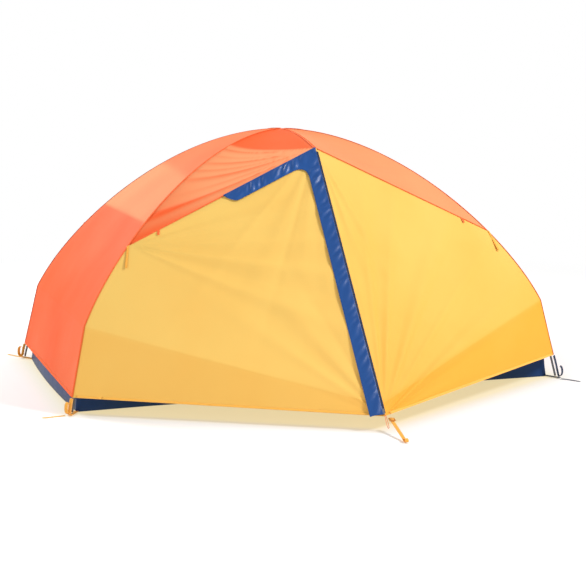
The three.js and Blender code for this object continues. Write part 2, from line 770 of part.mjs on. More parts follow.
// A clip: an open ring round the pole and a tail that hangs towards the canopy, drawn round the
// pole's axis and then pushed out along it.
function clipGeometry(corner) {
  const arch = archOf(archOutline(0, corner.crownZ));
  const at = arch.getPoint(clipShare);
  const along = arch.getTangent(clipShare);
  const inner = poleRadius + clipPlay;
  const outer = inner + clipWall;
  const opening = Math.PI / 4;
  const tail = canopyDrop + poleRadius - clipTie;
  const tailHalf = Math.asin(clipWall / 2 / outer);
  const profile = new THREE.Shape()
    .absarc(0, 0, outer, Math.PI / 2 + opening, 1.5 * Math.PI - tailHalf, false)
    .lineTo(-clipWall / 2, -tail)
    .lineTo(clipWall / 2, -tail)
    .absarc(0, 0, outer, 1.5 * Math.PI + tailHalf, 2.5 * Math.PI - opening, false)
    .absarc(0, 0, inner, 2.5 * Math.PI - opening, Math.PI / 2 + opening, true);
  const depth = clipWidth;
  const ring = new THREE.ExtrudeGeometry(profile, { depth, bevelEnabled: false, curveSegments: 6 });
  const forward = new THREE.Vector3(along.x, along.y, 0);
  const above = new THREE.Vector3(-along.y, along.x, 0);
  if (above.y < 0) above.negate();
  const inPlane = new THREE.Matrix4().makeBasis(above.clone().cross(forward), above, forward);
  ring.translate(0, 0, -clipWidth / 2).applyMatrix4(inPlane).translate(at.x, at.y, 0);
  return ring.applyMatrix4(cornerFrame(corner));
}

// The floor corner's webbing: a flat tongue from the tub to past the pole foot, with the grommet's hole.
function cornerWebbingGeometry({ signX, signY }) {
  const tubCorner = new THREE.Vector2((signX * tubLength) / 2, (signY * tubWidth) / 2);
  const foot = new THREE.Vector2((signX * feetLength) / 2, (signY * feetWidth) / 2);
  const along = foot.clone().sub(tubCorner);
  const reach = along.length();
  const half = cornerWebbingWidth / 2;
  const hole = tipPinDiameter / 2 + grommetPlay;
  const tongue = new THREE.Shape()
    .moveTo(cornerTieGap, -half)
    .lineTo(reach + cornerWebbingEnd - half, -half)
    .absarc(reach + cornerWebbingEnd - half, 0, half, -Math.PI / 2, Math.PI / 2)
    .lineTo(cornerTieGap, half);
  tongue.holes.push(new THREE.Path().absarc(reach, 0, hole, 0, 2 * Math.PI, true));
  return new THREE.ExtrudeGeometry(tongue, { depth: webbing, bevelEnabled: false, curveSegments: 6 })
    .rotateZ(along.angle())
    .translate(tubCorner.x, tubCorner.y, cornerWebbingHeight);
}

// The fly's corner strap: from the hem down outside the pole, ending in a loose tail that stands up.
function flyStrapGeometry(corner) {
  const top = ridgeLegAt(corner.hem - 3);
  const low = ridgeLegAt(cornerWebbingHeight + 12);
  const end = diagonal + cornerWebbingEnd;
  const points = [
    [top.x, top.y],
    [low.x, low.y],
    [low.x + 6, low.y - 5],
    [end - 4, low.y - 6],
    [end + 3, low.y],
    [end + 6, low.y + 14],
    [end + 3, low.y + 32],
    [end - 4, low.y + 40],
  ];
  return webbingStrip(points, strapWidth).applyMatrix4(cornerFrame(corner));
}

// The stake-out cords: each a narrow loop of thin cord from the webbing's end, laid out on the ground.
// Routes are (x, y) steps from the left feet; the right feet's are the same, turned half a turn.
const frontLeftRoute = [
  [-24, -9],
  [-40, -13],
  [-62, -12],
  [-84, -16],
  [-104, -19],
  [-117, -16],
  [-120, -10],
  [-112, -7],
  [-92, -8],
  [-70, -3],
  [-48, -2],
  [-27, 4],
];
const backLeftRoute = [
  [-14, 26],
  [-24, 36],
  [-38, 54],
  [-52, 78],
  [-62, 98],
  [-64, 107],
  [-58, 106],
  [-50, 94],
  [-38, 74],
  [-24, 52],
  [-12, 40],
  [-3, 33],
];

function stakeCordGeometry({ signX, signY }) {
  const route = signX === signY ? frontLeftRoute : backLeftRoute;
  const turn = signX < 0 ? 1 : -1;
  const height = stakeCordDiameter / 2 + 0.1;
  const foot = new THREE.Vector3((signX * feetLength) / 2, (signY * feetWidth) / 2, height);
  const points = route.map(([x, y]) => new THREE.Vector3(turn * x, turn * y, 0).add(foot));
  return cord(new THREE.CatmullRomCurve3(points), 18, stakeCordDiameter / 2);
}

// A guy-out: a webbing tab sewn where the ridge meets the roof seam, hanging down the vestibule's panel.
function guyTabGeometry({ signX, signY, hem }) {
  const ridgeAt = ridgeEdge(signX, signY, hem, seamShare);
  const top = ridgeAt(1);
  const along = ridgeAt(0.9).sub(top);
  const across = new THREE.Vector3(0, signY * peakReach, peakHeight).sub(top);
  const out = along.cross(across).normalize();
  if (out.z < 0) out.negate();
  const down = new THREE.Vector3(0, 0, -1).projectOnPlane(out).normalize();
  const side = down.clone().cross(out);
  const points = [
    [guyTabStart, guyTabStart / 2],
    [2 * guyTabStart, guyTabStandoff],
    [guyTabLength, guyTabStandoff],
  ];
  const frame = new THREE.Matrix4().makeBasis(down, out, side).setPosition(top);
  return webbingStrip(points, guyTabWidth).applyMatrix4(frame);
}

function buildCorner(corner) {
  place(`pole_clip_${corner.label}`, clipGeometry(corner), finishes.hub);
  place(`corner_webbing_${corner.label}`, cornerWebbingGeometry(corner), corner.webbing);
  place(`fly_strap_${corner.label}`, flyStrapGeometry(corner), corner.webbing);
  place(`stake_cord_${corner.label}`, stakeCordGeometry(corner), corner.webbing);
  place(`guy_tab_${corner.label}`, guyTabGeometry(corner), corner.webbing);
}

// ---- Assembly ----

buildLongPole('lower_pole', -1, -1, lowerCrown, ['front_left', 'back_right']);
buildLongPole('upper_pole', 1, -1, upperCrown, ['front_right', 'back_left']);
buildBrowPole();
buildHub();
buildInnerTent();
corners.forEach(buildCorner);
place('fly_roof', bentSheet(roofSurface, 8, 16, sheet), finishes.orange);
place('fly_end_left', bentSheet(endSurface(-1, hemHeadEnd), 1, 13, sheet), finishes.orange);
place('fly_end_right', bentSheet(endSurface(1, hemFootEnd), 1, 13, sheet), finishes.orange);
buildSide('front', 0, hemHeadEnd, hemFootEnd);
buildSide('back', Math.PI, hemFootEnd, hemHeadEnd);

export default tent;
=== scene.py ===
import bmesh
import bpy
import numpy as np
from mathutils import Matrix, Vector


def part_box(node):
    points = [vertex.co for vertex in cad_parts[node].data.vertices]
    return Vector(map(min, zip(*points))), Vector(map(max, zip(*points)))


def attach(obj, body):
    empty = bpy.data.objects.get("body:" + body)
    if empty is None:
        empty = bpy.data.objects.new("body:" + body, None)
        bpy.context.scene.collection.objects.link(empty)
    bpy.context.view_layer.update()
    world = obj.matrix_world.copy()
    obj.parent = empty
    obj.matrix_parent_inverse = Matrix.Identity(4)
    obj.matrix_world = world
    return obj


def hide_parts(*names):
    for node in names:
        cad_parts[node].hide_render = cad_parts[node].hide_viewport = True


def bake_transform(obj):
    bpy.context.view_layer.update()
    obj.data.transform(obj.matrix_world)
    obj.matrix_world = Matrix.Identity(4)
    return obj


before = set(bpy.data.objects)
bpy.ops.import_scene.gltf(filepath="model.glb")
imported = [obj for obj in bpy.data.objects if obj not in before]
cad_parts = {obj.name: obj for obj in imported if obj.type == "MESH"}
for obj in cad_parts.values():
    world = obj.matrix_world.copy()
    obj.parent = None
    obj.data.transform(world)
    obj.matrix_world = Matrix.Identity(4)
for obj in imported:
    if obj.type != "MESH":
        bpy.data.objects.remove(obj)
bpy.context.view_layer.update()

# A two-person dome tent on poles. Metres, +Z up, X along the tent, the front door towards -Y.
# Front and back are one design, turned half a turn about Z. Points of a pole's upright plane are
# pairs: distance from the middle, height.

# ---- Sizes ----

FEET = np.array([2.18, 1.206])  # between the pole feet, along X and along Y
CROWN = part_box("fly_roof")[1][2]  # outside of the fly over the crossing
ELBOW_HEIGHT = 0.346  # of a long pole's bend
ELBOW_INSET = 0.088  # of the bend, from over the foot towards the middle
ELBOW_LEAN = np.radians(28.5)  # of the arch, from upright, where it leaves the bend
ELBOW_HANDLE = 0.348  # lengths of the arch's two curve handles
CROWN_HANDLE = 0.495
POLE_RADIUS = 0.0045
BORE_RADIUS = 0.0037
FERRULE_RADIUS = 0.0036
CLOTH = 0.002  # the solid stand-in panels' thickness
FLY_CLEARANCE = 0.008  # between the long poles and the fly
BROW_CLEARANCE = 0.002  # between the short pole and the roof
CROSSING_GAP = 0.0005  # between poles where they cross
PEAK = np.array([0, -0.45, 1.04])
ZIP_FOOT = np.array([0, -1.25, 0.06])
HEM_HEAD = 0.072  # height of the fly's corners at the head end (-X)
HEM_FOOT = 0.105  # and at the foot end (+X)
BEND_ROW = 0.3  # share of a panel's rows below the pole's bend
CREASE_LIFT = 0.04  # share of the zip at which the panels' crease meets it
ZIP_ARM = 0.5  # share of the roof seam that the zip's arm and the flap take
HINGE_CREASE = 0.16  # share of the crease outside the door's hinge
ROOF_TIP = 0.004  # radius at which the roof's two halves meet under the crown patch
FLAP_WIDTH = 0.055
FLAP_STANDOFF = 0.007
FLAP_CORNER = 0.05 / 0.7  # from the flap's inner corner to where its rounding starts
FLAP_ROUND = 0.09  # share of the flap's length on each side of the peak that the rounding takes
FLAP_TIP = 0.045  # share of the flap's length over which its upper end is rounded
STRAP_WIDTH = 0.015
WEBBING = 0.0015
TUB = np.array([2.13, 1.12, 0.15])
TUB_LEAN = 0.015
CANOPY_DROP = 0.03  # of the inner tent under the poles
CANOPY_PEAK_DROP = 0.05
TURN = 2 * np.pi
RIGHT = np.array([1.0, 0, 0])
UP = np.array([0, 0, 1.0])
DIAGONAL = np.hypot(*FEET) / 2
ALONG = FEET / 2 / DIAGONAL
FLY_OFFSET = POLE_RADIUS + FLY_CLEARANCE + CLOTH
BROW_CROWN = CROWN - CLOTH - BROW_CLEARANCE - POLE_RADIUS
UPPER_CROWN = BROW_CROWN - 2 * POLE_RADIUS - CROSSING_GAP
LOWER_CROWN = UPPER_CROWN - 2 * POLE_RADIUS - CROSSING_GAP
SIDES = (("front", 1, HEM_HEAD, HEM_FOOT), ("back", -1, HEM_FOOT, HEM_HEAD))
ENDS = (("left", -1, HEM_HEAD), ("right", 1, HEM_FOOT))
CORNERS = (
    ("front_left", -1, -1, HEM_HEAD, LOWER_CROWN),
    ("back_right", 1, 1, HEM_FOOT, LOWER_CROWN),
    ("front_right", 1, -1, HEM_FOOT, UPPER_CROWN),
    ("back_left", -1, 1, HEM_HEAD, UPPER_CROWN),
)


# ---- Vectors, curves and meshes ----


def unit(vector):
    """A vector, or each of many, over its length."""
    return vector / np.linalg.norm(vector, axis=-1, keepdims=True)


def mix(a, b, share):
    """a + (b - a) * share."""
    return a + (b - a) * share


def bezier(points, t):
    """A cubic curve: four points weighted (1-t)^3, 3(1-t)^2 t, 3(1-t) t^2 and t^3."""
    t = np.asarray(t, float)[..., None]
    a, b, c, d = points
    return a * (1 - t) ** 3 + 3 * b * (1 - t) ** 2 * t + 3 * c * (1 - t) * t**2 + d * t**3


def smooth_path(points, count):
    """A curve through every point: between two of them, the cubic whose slopes are half the step from
    the point before to the point after."""
    points = np.asarray(points, float)
    padded = np.vstack([2 * points[0] - points[1], points, 2 * points[-1] - points[-2]])
    place = np.linspace(0, len(points) - 1, count)
    i = np.minimum(place.astype(int), len(points) - 2)
    t = (place - i)[:, None]
    a, b, c, d = (padded[i + k] for k in range(4))
    return b + 0.5 * t * (c - a + t * (2 * a - 5 * b + 4 * c - d + t * (3 * (b - c) + d - a)))


def arch_outline(offset, crown):
    """A pole's outline in its upright plane as (distance from the middle, height), moved outwards."""
    leg_lean = np.arctan2(ELBOW_INSET, ELBOW_HEIGHT)
    bend_lean = (leg_lean + ELBOW_LEAN) / 2
    foot = np.array([DIAGONAL + offset * np.cos(leg_lean), offset * np.sin(leg_lean)])
    bend = np.array([np.cos(bend_lean), np.sin(bend_lean)])
    elbow = np.array([DIAGONAL - ELBOW_INSET, ELBOW_HEIGHT]) + offset * bend
    rise = elbow + ELBOW_HANDLE * np.array([-np.sin(ELBOW_LEAN), np.cos(ELBOW_LEAN)])
    arch = [np.array([0, crown]), np.array([CROWN_HANDLE, crown]), rise, elbow]
    return foot, elbow, arch


def at_corner(outline, x_sign, y_sign):
    """Points (r, z) of a diagonal's upright plane as (x, y, z): r times the diagonal's slope."""
    r, z = outline[..., 0], outline[..., 1]
    return np.stack([x_sign * r * ALONG[0], y_sign * r * ALONG[1], z], axis=-1)


RIDGE_FOOT, RIDGE_ELBOW, RIDGE_ARCH = arch_outline(FLY_OFFSET, CROWN)
ARCH_SHARES = np.linspace(0, 1, 2001)
ARCH_RADII = bezier(RIDGE_ARCH, ARCH_SHARES)[:, 0]
SEAM_RADIUS = -PEAK[1] / ALONG[1]


def ridge_at(radius):
    """The ridge's point (r, z) at a distance from the middle, read off the arch."""
    return bezier(RIDGE_ARCH, np.interp(radius, ARCH_RADII, ARCH_SHARES))


def leg_at(height):
    """The point (r, z) of the ridge's straight leg at a height."""
    share = (RIDGE_ELBOW[1] - height) / (RIDGE_ELBOW[1] - RIDGE_FOOT[1])
    return mix(RIDGE_ELBOW, RIDGE_FOOT, share)


def ridge_edge(v, x_sign, y_sign, hem, top_radius):
    """A ridge from the hem (0) up its leg to the bend (BEND_ROW) and along the arch (1)."""
    v = np.asarray(v, float)
    low = mix(leg_at(hem), RIDGE_ELBOW, np.clip(v / BEND_ROW, 0, 1)[..., None])
    top = np.interp(top_radius, ARCH_RADII, ARCH_SHARES)
    high = bezier(RIDGE_ARCH, mix(1, top, np.clip((v - BEND_ROW) / (1 - BEND_ROW), 0, 1)))
    return at_corner(np.where((v < BEND_ROW)[..., None], low, high), x_sign, y_sign)


def zip_edge(v):
    """The zip's line from its foot (0) to the peak (1); the rows below the bend stay at its foot."""
    v = np.asarray(v, float)
    low = CREASE_LIFT * v / BEND_ROW
    high = mix(CREASE_LIFT, 1, (v - BEND_ROW) / (1 - BEND_ROW))
    return mix(ZIP_FOOT, PEAK, np.where(v < BEND_ROW, low, high)[..., None])


def brow_height(y):
    """The roof over the short pole: the crown, less a parabola that reaches the peak."""
    return CROWN - (CROWN - PEAK[2]) * (y / PEAK[1]) ** 2


def foot_at(x_sign, y_sign):
    """A pole's foot on the ground, (x, y)."""
    return np.array([x_sign, y_sign]) * FEET / 2


def spun(spin):
    """What a point of the front is multiplied by to stand on its side: the back (-1) is the front
    turned half a turn about Z."""
    return np.array([spin, spin, 1])


def make_object(name, points, faces, uv=None):
    """A smooth mesh object at the origin; uv holds one pair for each point."""
    mesh = bpy.data.meshes.new(name)
    mesh.from_pydata(np.asarray(points, float).tolist(), [], faces)
    if uv is not None:
        corner = np.empty(len(mesh.loops), int)
        mesh.loops.foreach_get("vertex_index", corner)
        layer = mesh.uv_layers.new(name="UVMap")
        layer.data.foreach_set("uv", np.asarray(uv, float)[corner].ravel())
    mesh.polygons.foreach_set("use_smooth", np.full(len(mesh.polygons), True))
    made = bpy.data.objects.new(name, mesh)
    bpy.context.scene.collection.objects.link(made)
    return made


def net_faces(rows, columns, closed=False):
    """Quads of a net of points numbered row by row; a closed net joins its last column to its first."""
    last = columns if closed else columns - 1
    j, i = np.meshgrid(np.arange(rows - 1), np.arange(last), indexing="ij")
    low, high = j * columns, (j + 1) * columns
    right = (i + 1) % columns
    return np.stack([low + i, low + right, high + right, high + i], -1).reshape(-1, 4)


def net_normals(net):
    """Outward unit normals of a net: its step to the right crossed with its step upwards."""
    return unit(np.cross(np.gradient(net, axis=1), np.gradient(net, axis=0)) + 1e-15)


def net_sizes(net):
    """Widest row, middle column and area of a net, by its steps and its cells' diagonals."""
    width = np.linalg.norm(np.diff(net, axis=1), axis=-1).sum(1).max()
    length = np.linalg.norm(np.diff(net[:, net.shape[1] // 2], axis=0), axis=-1).sum()
    first = net[1:, 1:] - net[:-1, :-1]
    second = net[1:, :-1] - net[:-1, 1:]
    area = np.linalg.norm(np.cross(first, second), axis=-1).sum() / 2
    return width, length, area


def cloth(name, surface, columns, rows, folds, painted_shade, lift=0.0):
    """A cloth panel on surface(u, v), moved along its normals by folds(points, u, v). Its attribute
    holds painted shade: from the paler, painted through-light (0) to the fuller, shaded tone (1). Solidify
    gives it its thickness."""
    u, v = np.meshgrid(np.linspace(0, 1, columns), np.linspace(0, 1, rows))
    net = surface(u, v)
    width, length, area = net_sizes(net)
    points = net + net_normals(net) * (lift + folds(net, u, v))[..., None]
    uv = np.stack([u * width, v * length], -1).reshape(-1, 2)
    made = make_object(name, points.reshape(-1, 3), net_faces(rows, columns).tolist(), uv)
    layer = made.data.attributes.new("painted_shade", "FLOAT", "POINT")
    layer.data.foreach_set("value", np.clip(painted_shade(net, u, v), 0, 1).ravel())
    thicken(made, 0.0005, -1)
    return made


def thicken(made, thickness, side):
    """Gives a surface its thickness: behind it (side -1) or half on each side (0)."""
    wall = made.modifiers.new("wall", "SOLIDIFY")
    wall.thickness = thickness
    wall.offset = side


def run_along(path):
    """The length along a path from its start to each of its points."""
    return np.concatenate([[0], np.linalg.norm(np.diff(path, axis=0), axis=1).cumsum()])


def frames(path, side):
    """Unit vectors along a path, across it (as near as may be to side) and out of it."""
    along = unit(np.gradient(path, axis=0))
    side = np.broadcast_to(side, path.shape)
    across = unit(side - along * (side * along).sum(-1, keepdims=True))
    return along, across, np.cross(along, across)


def sweep(name, path, side, profile):
    """A closed profile of (across, out) pairs carried along a path, with flat ends."""
    path = np.asarray(path, float)
    profile = np.asarray(profile, float)
    _, across, out = frames(path, side)
    net = path[:, None] + across[:, None] * profile[None, :, :1] + out[:, None] * profile[None, :, 1:]
    rows, columns = net.shape[:2]
    ring = np.arange(columns)
    ends = [ring[::-1].tolist(), ((rows - 1) * columns + ring).tolist()]
    uv = np.stack(np.broadcast_arrays(profile[None, :, 0], run_along(path)[:, None]), -1).reshape(-1, 2)
    faces = net_faces(rows, columns, closed=True).tolist() + ends
    made = make_object(name, net.reshape(-1, 3), faces, uv)
    outward(made)
    return made


def outward(made):
    """Turns every face of a closed piece outwards."""
    work = bmesh.new()
    work.from_mesh(made.data)
    bmesh.ops.recalc_face_normals(work, faces=work.faces)
    work.to_mesh(made.data)
    work.free()


def circle(radius, count=16):
    """A circle's points: radius times cosine and sine."""
    angle = np.linspace(0, TURN, count, endpoint=False)
    return radius * np.stack([np.cos(angle), np.sin(angle)], -1)


def band(width, thickness, count=4):
    """A webbing's section: a rectangle whose two sides are half circles."""
    angle = np.linspace(-np.pi / 2, np.pi / 2, count)
    bulge = thickness / 2 * np.stack([np.cos(angle), np.sin(angle)], -1)
    right = bulge + [width / 2 - thickness / 2, 0]
    return np.vstack([right, -right])


def lathe(name, base, axis, profile):
    """A closed profile of (radius, height) pairs turned round an axis from its base."""
    axis = unit(np.asarray(axis, float))
    first = unit(np.cross(axis, [0.3, 0.8, 0.1]))
    second = np.cross(axis, first)
    ring = circle(1.0, 32)
    around = first * ring[:, :1] + second * ring[:, 1:]
    profile = np.asarray(profile, float)
    net = base + axis * profile[:, None, 1:] + around[None] * profile[:, None, :1]
    faces = net_faces(len(profile) + 1, len(ring), closed=True) % (len(profile) * len(ring))
    made = make_object(name, net.reshape(-1, 3), faces.tolist())
    outward(made)
    return made


def dress(made, material, body, slot, *nodes):
    """Gives a piece its material and the body it rides on, and hides the nodes it stands for. The slot is
    not used.
    """
    made.data.materials.clear()
    made.data.materials.append(material)
    if body:
        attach(made, body)
    if nodes:
        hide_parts(*nodes)
    return made


# ---- Materials ----

RIB = 0.0012  # between a webbing's ribs


class Shade:
    """A socket whose sums, differences and products are written as Python expressions."""

    def __init__(self, finish, socket):
        self.finish = finish
        self.socket = socket

    def maths(self, operation, first, second=0.0):
        """One step of arithmetic as a node."""
        return self.finish.node("ShaderNodeMath", {"operation": operation}, {0: first, 1: second})

    def __add__(self, other):
        return self.maths("ADD", self, other)

    def __radd__(self, other):
        return self.maths("ADD", other, self)

    def __sub__(self, other):
        return self.maths("SUBTRACT", self, other)

    def __rsub__(self, other):
        return self.maths("SUBTRACT", other, self)

    def __mul__(self, other):
        return self.maths("MULTIPLY", self, other)

    def __rmul__(self, other):
        return self.maths("MULTIPLY", other, self)

    def below(self, other):
        return self.maths("LESS_THAN", self, other)

    def sine(self):
        return self.maths("SINE", self)

    def fraction(self):
        return self.maths("FRACT", self)

    def size(self):
        return self.maths("ABSOLUTE", self)

    def larger(self, other):
        return self.maths("MAXIMUM", self, other)


class Finish:
    """A material's node tree, built one node at a time."""

    def __init__(self, name):
        self.material = bpy.data.materials.new(name)
        self.material.use_nodes = True
        self.tree = self.material.node_tree
        self.tree.nodes.clear()

    def node(self, kind, settings=None, inputs=None, out=0):
        """Adds a node: its settings first, then its sockets' values or links."""
        made = self.tree.nodes.new(kind)
        for key, value in (settings or {}).items():
            setattr(made, key, value)
        for key, value in (inputs or {}).items():
            if isinstance(value, Shade):
                self.tree.links.new(value.socket, made.inputs[key])
            else:
                made.inputs[key].default_value = value
        return Shade(self, made.outputs[out])

    def place(self, kind):
        """The piece's UV or Object coordinates as three numbers."""
        vector = self.node("ShaderNodeTexCoord", out=kind)
        made = self.tree.nodes.new("ShaderNodeSeparateXYZ")
        self.tree.links.new(vector.socket, made.inputs[0])
        return [Shade(self, socket) for socket in made.outputs]

    def noise(self, scale, detail=3.0):
        """Noise over the piece's Object coordinates."""
        vector = self.node("ShaderNodeTexCoord", out="Object")
        inputs = {"Vector": vector, "Scale": scale, "Detail": detail}
        return self.node("ShaderNodeTexNoise", {}, inputs, "Fac")

    def colours(self, first, second, factor):
        """Mixes two colours by a factor."""
        return self.node("ShaderNodeMix", {"data_type": "RGBA"}, {0: factor, 6: first, 7: second}, 2)

    def bump(self, height, distance, strength, **under):
        """A normal from a height; under may name the Normal that it starts from."""
        inputs = {"Height": height, "Distance": distance, "Strength": strength, **under}
        return self.node("ShaderNodeBump", {}, inputs, "Normal")

    def principled(self, **sockets):
        """The surface shader; a socket's name is written with low lines for its spaces."""
        inputs = {name.replace("_", " "): value for name, value in sockets.items()}
        return self.node("ShaderNodeBsdfPrincipled", {}, inputs)

    def blended(self, share, first, second):
        """Two shaders mixed by a share."""
        return self.node("ShaderNodeMixShader", {}, {0: share, 1: first, 2: second})

    def done(self, shader):
        """Links the shader to the output and gives back the material."""
        end = self.tree.nodes.new("ShaderNodeOutputMaterial")
        self.tree.links.new(shader.socket, end.inputs["Surface"])
        return self.material


def rgba(red, green, blue):
    """An opaque colour, in linear light."""
    return (red, green, blue, 1.0)


def tones(color, share):
    """A colour darkened to a share of itself, and the colour."""
    return rgba(*(share * part for part in color)), rgba(*color)


def ripstop(name, lit_tone, shaded_tone, glow, glow_share, roughness=0.5, gloss=0.16):
    """Coated ripstop: a fine square grid of thicker threads every 5 mm and plain weave between them. Its
    colour
    holds painted light and shade: a paler colour where daylight would come through and a fuller, shaded one
    where the panel's painted-shade attribute is high."""
    f = Finish(name)
    across, along, _ = f.place("UV")
    painted_shade = f.node("ShaderNodeAttribute", {"attribute_name": "painted_shade"}, out="Fac")
    cloudy = f.noise(2.6, 4.0)
    threads = ((across * 200.0).fraction().below(0.16) + (along * 200.0).fraction().below(0.16)) * 0.5
    weave = (across * 9000.0).sine() * (along * 9000.0).sine()
    # Painted light and shade: the paler lit colour mixed towards the shaded one by the panel's painted-shade
    # attribute.
    tone = f.colours(lit_tone, shaded_tone, painted_shade + (cloudy - 0.5) * 0.35)
    tone = f.colours(tone, shaded_tone, threads * 0.22)
    soft = f.bump(cloudy, 0.012, 0.35)
    face = f.principled(
        Base_Color=tone, Roughness=roughness + (cloudy - 0.5) * 0.12, Specular_IOR_Level=gloss,
        Normal=f.bump(threads * 0.6 + weave * 0.12, 0.00012, 0.5, Normal=soft),
    )
    through = f.node("ShaderNodeBsdfTranslucent", {}, {"Color": glow})
    return f.done(f.blended(glow_share * (1.0 - painted_shade * 0.6), face, through))


def plain_weave(name, light, dark, roughness=0.75, stitched=True):
    """Webbing: ribs across its run and two rows of stitches."""
    f = Finish(name)
    across, along, _ = f.place("UV")
    ribs = ((along * (TURN / RIB)).sine() * (across * (TURN / RIB)).sine()) * 0.5 + 0.5
    tone = f.colours(dark, light, ribs * 0.55 + f.noise(60.0) * 0.45)
    height = ribs
    if stitched:
        stitches = (across.size() - 0.0052).size().below(0.0005) * (along * 330.0).fraction().below(0.68)
        tone = f.colours(tone, rgba(0.9, 0.82, 0.7), stitches * 0.35)
        height = ribs + stitches
    normal = f.bump(height, 0.0002, 0.8)
    return f.done(f.principled(Base_Color=tone, Roughness=roughness, Normal=normal, Specular_IOR_Level=0.15))


def braid(name, light, dark):
    """A thin braided cord: two sets of strands wound against each other, by crossed sines."""
    f = Finish(name)
    x, y, z = f.place("Object")
    strands = ((x + y + z) * 900.0).sine() * ((x - y + z) * 900.0).sine() * 0.5 + 0.5
    tone = f.colours(dark, light, strands)
    return f.done(f.principled(Base_Color=tone, Roughness=0.8, Normal=f.bump(strands, 0.0002, 0.7)))


def metal(name, color, roughness):
    """Drawn or cast metal with a faint grain in its gloss."""
    f = Finish(name)
    grain = f.noise(180.0, 5.0)
    face = f.principled(
        Base_Color=f.colours(*tones(color, 0.8), grain), Roughness=roughness + (grain - 0.5) * 0.08,
        Metallic=1.0, Normal=f.bump(grain, 0.0001, 0.2),
    )
    return f.done(face)


def plastic(name, color):
    """Moulded plastic: a fine eggshell grain and a slight change of tone."""
    f = Finish(name)
    grain = f.noise(900.0, 2.0)
    face = f.principled(
        Base_Color=f.colours(*tones(color, 0.75), f.noise(40.0)), Roughness=0.45 + (grain - 0.5) * 0.15,
        Normal=f.bump(grain, 0.00008, 0.5),
    )
    return f.done(face)


def insect_mesh(name):
    """The inner tent: pale cloth up to a height, then fine mesh that lets most of the light through."""
    f = Finish(name)
    _, _, height = f.place("Object")
    holes = (0.36 - height).below(0.0)
    tone = f.colours(rgba(0.80, 0.76, 0.70), rgba(0.62, 0.60, 0.58), holes)
    normal = f.bump(f.noise(300.0, 2.0), 0.0003, 0.5)
    face = f.principled(Base_Color=tone, Roughness=0.8, Normal=normal, Sheen_Weight=0.2)
    return f.done(f.blended(holes * 0.5, face, f.node("ShaderNodeBsdfTransparent")))


ORANGE = ripstop(
    "orange cloth", rgba(0.96, 0.43, 0.19), rgba(0.88, 0.12, 0.028), rgba(1.0, 0.36, 0.12), 0.3, 0.6
)
YELLOW = ripstop(
    "yellow cloth", rgba(0.96, 0.70, 0.19), rgba(0.90, 0.41, 0.045), rgba(1.0, 0.61, 0.13), 0.3, 0.6
)
BLUE = ripstop(
    "blue cloth", rgba(0.010, 0.085, 0.32), rgba(0.004, 0.032, 0.14), rgba(0.01, 0.1, 0.35), 0.05, 0.38, 0.4
)
NAVY = ripstop(
    "floor cloth", rgba(0.012, 0.045, 0.16), rgba(0.008, 0.03, 0.11), rgba(0.01, 0.05, 0.2), 0.04, 0.4
)
MESH = insect_mesh("inner mesh")
HEAD_WEBBING = plain_weave("golden webbing", rgba(0.93, 0.48, 0.08), rgba(0.72, 0.28, 0.04))
FOOT_WEBBING = plain_weave("dark webbing", rgba(0.035, 0.055, 0.10), rgba(0.012, 0.02, 0.045))
BINDING = plain_weave("seam binding", rgba(0.90, 0.17, 0.045), rgba(0.80, 0.11, 0.03), 0.8)
HEM = plain_weave("hem binding", rgba(0.93, 0.50, 0.10), rgba(0.85, 0.40, 0.06), 0.6)
ZIP_TAPE = plain_weave("zip tape", rgba(0.03, 0.05, 0.09), rgba(0.015, 0.025, 0.05), 0.8, stitched=False)
PULL_CORD = braid("pull cord", rgba(0.90, 0.27, 0.10), rgba(0.70, 0.14, 0.05))
HEAD_CORD = braid("golden cord", rgba(0.95, 0.66, 0.25), rgba(0.75, 0.40, 0.10))
FOOT_CORD = braid("grey cord", rgba(0.20, 0.22, 0.26), rgba(0.10, 0.11, 0.14))
ELASTIC = braid("shock cord", rgba(0.05, 0.05, 0.06), rgba(0.02, 0.02, 0.02))
TUBE = metal("anodised tube", (0.16, 0.17, 0.19), 0.34)
TIP = metal("cast tip", (0.75, 0.76, 0.78), 0.38)
BRASS = metal("grommet", (0.80, 0.62, 0.30), 0.35)
DARK_PLASTIC = plastic("dark plastic", (0.05, 0.05, 0.055))
BUCKLE = plastic("buckle plastic", (0.62, 0.24, 0.04))

# ---- Camera ----

CAMERA_PLACE = (-2.1695, -6.5555, 1.4643)
CAMERA_YAW = np.radians(18.735)  # from +Y towards +X
CAMERA_PITCH = np.radians(-9.138)
CAMERA_LENS = 93.85  # on a sensor of 36 mm


def make_camera():
    """Looks from the front left, a little above the tent's peak."""
    level, rise = np.cos(CAMERA_PITCH), np.sin(CAMERA_PITCH)
    forward = Vector((np.sin(CAMERA_YAW) * level, np.cos(CAMERA_YAW) * level, rise))
    lens = bpy.data.cameras.new("camera")
    lens.lens = CAMERA_LENS
    lens.sensor_width = 36
    camera = bpy.data.objects.new("camera", lens)
    camera.location = CAMERA_PLACE
    camera.rotation_euler = forward.to_track_quat("-Z", "Y").to_euler()
    bpy.context.scene.collection.objects.link(camera)
    bpy.context.scene.camera = camera


make_camera()

# ---- Cords ----

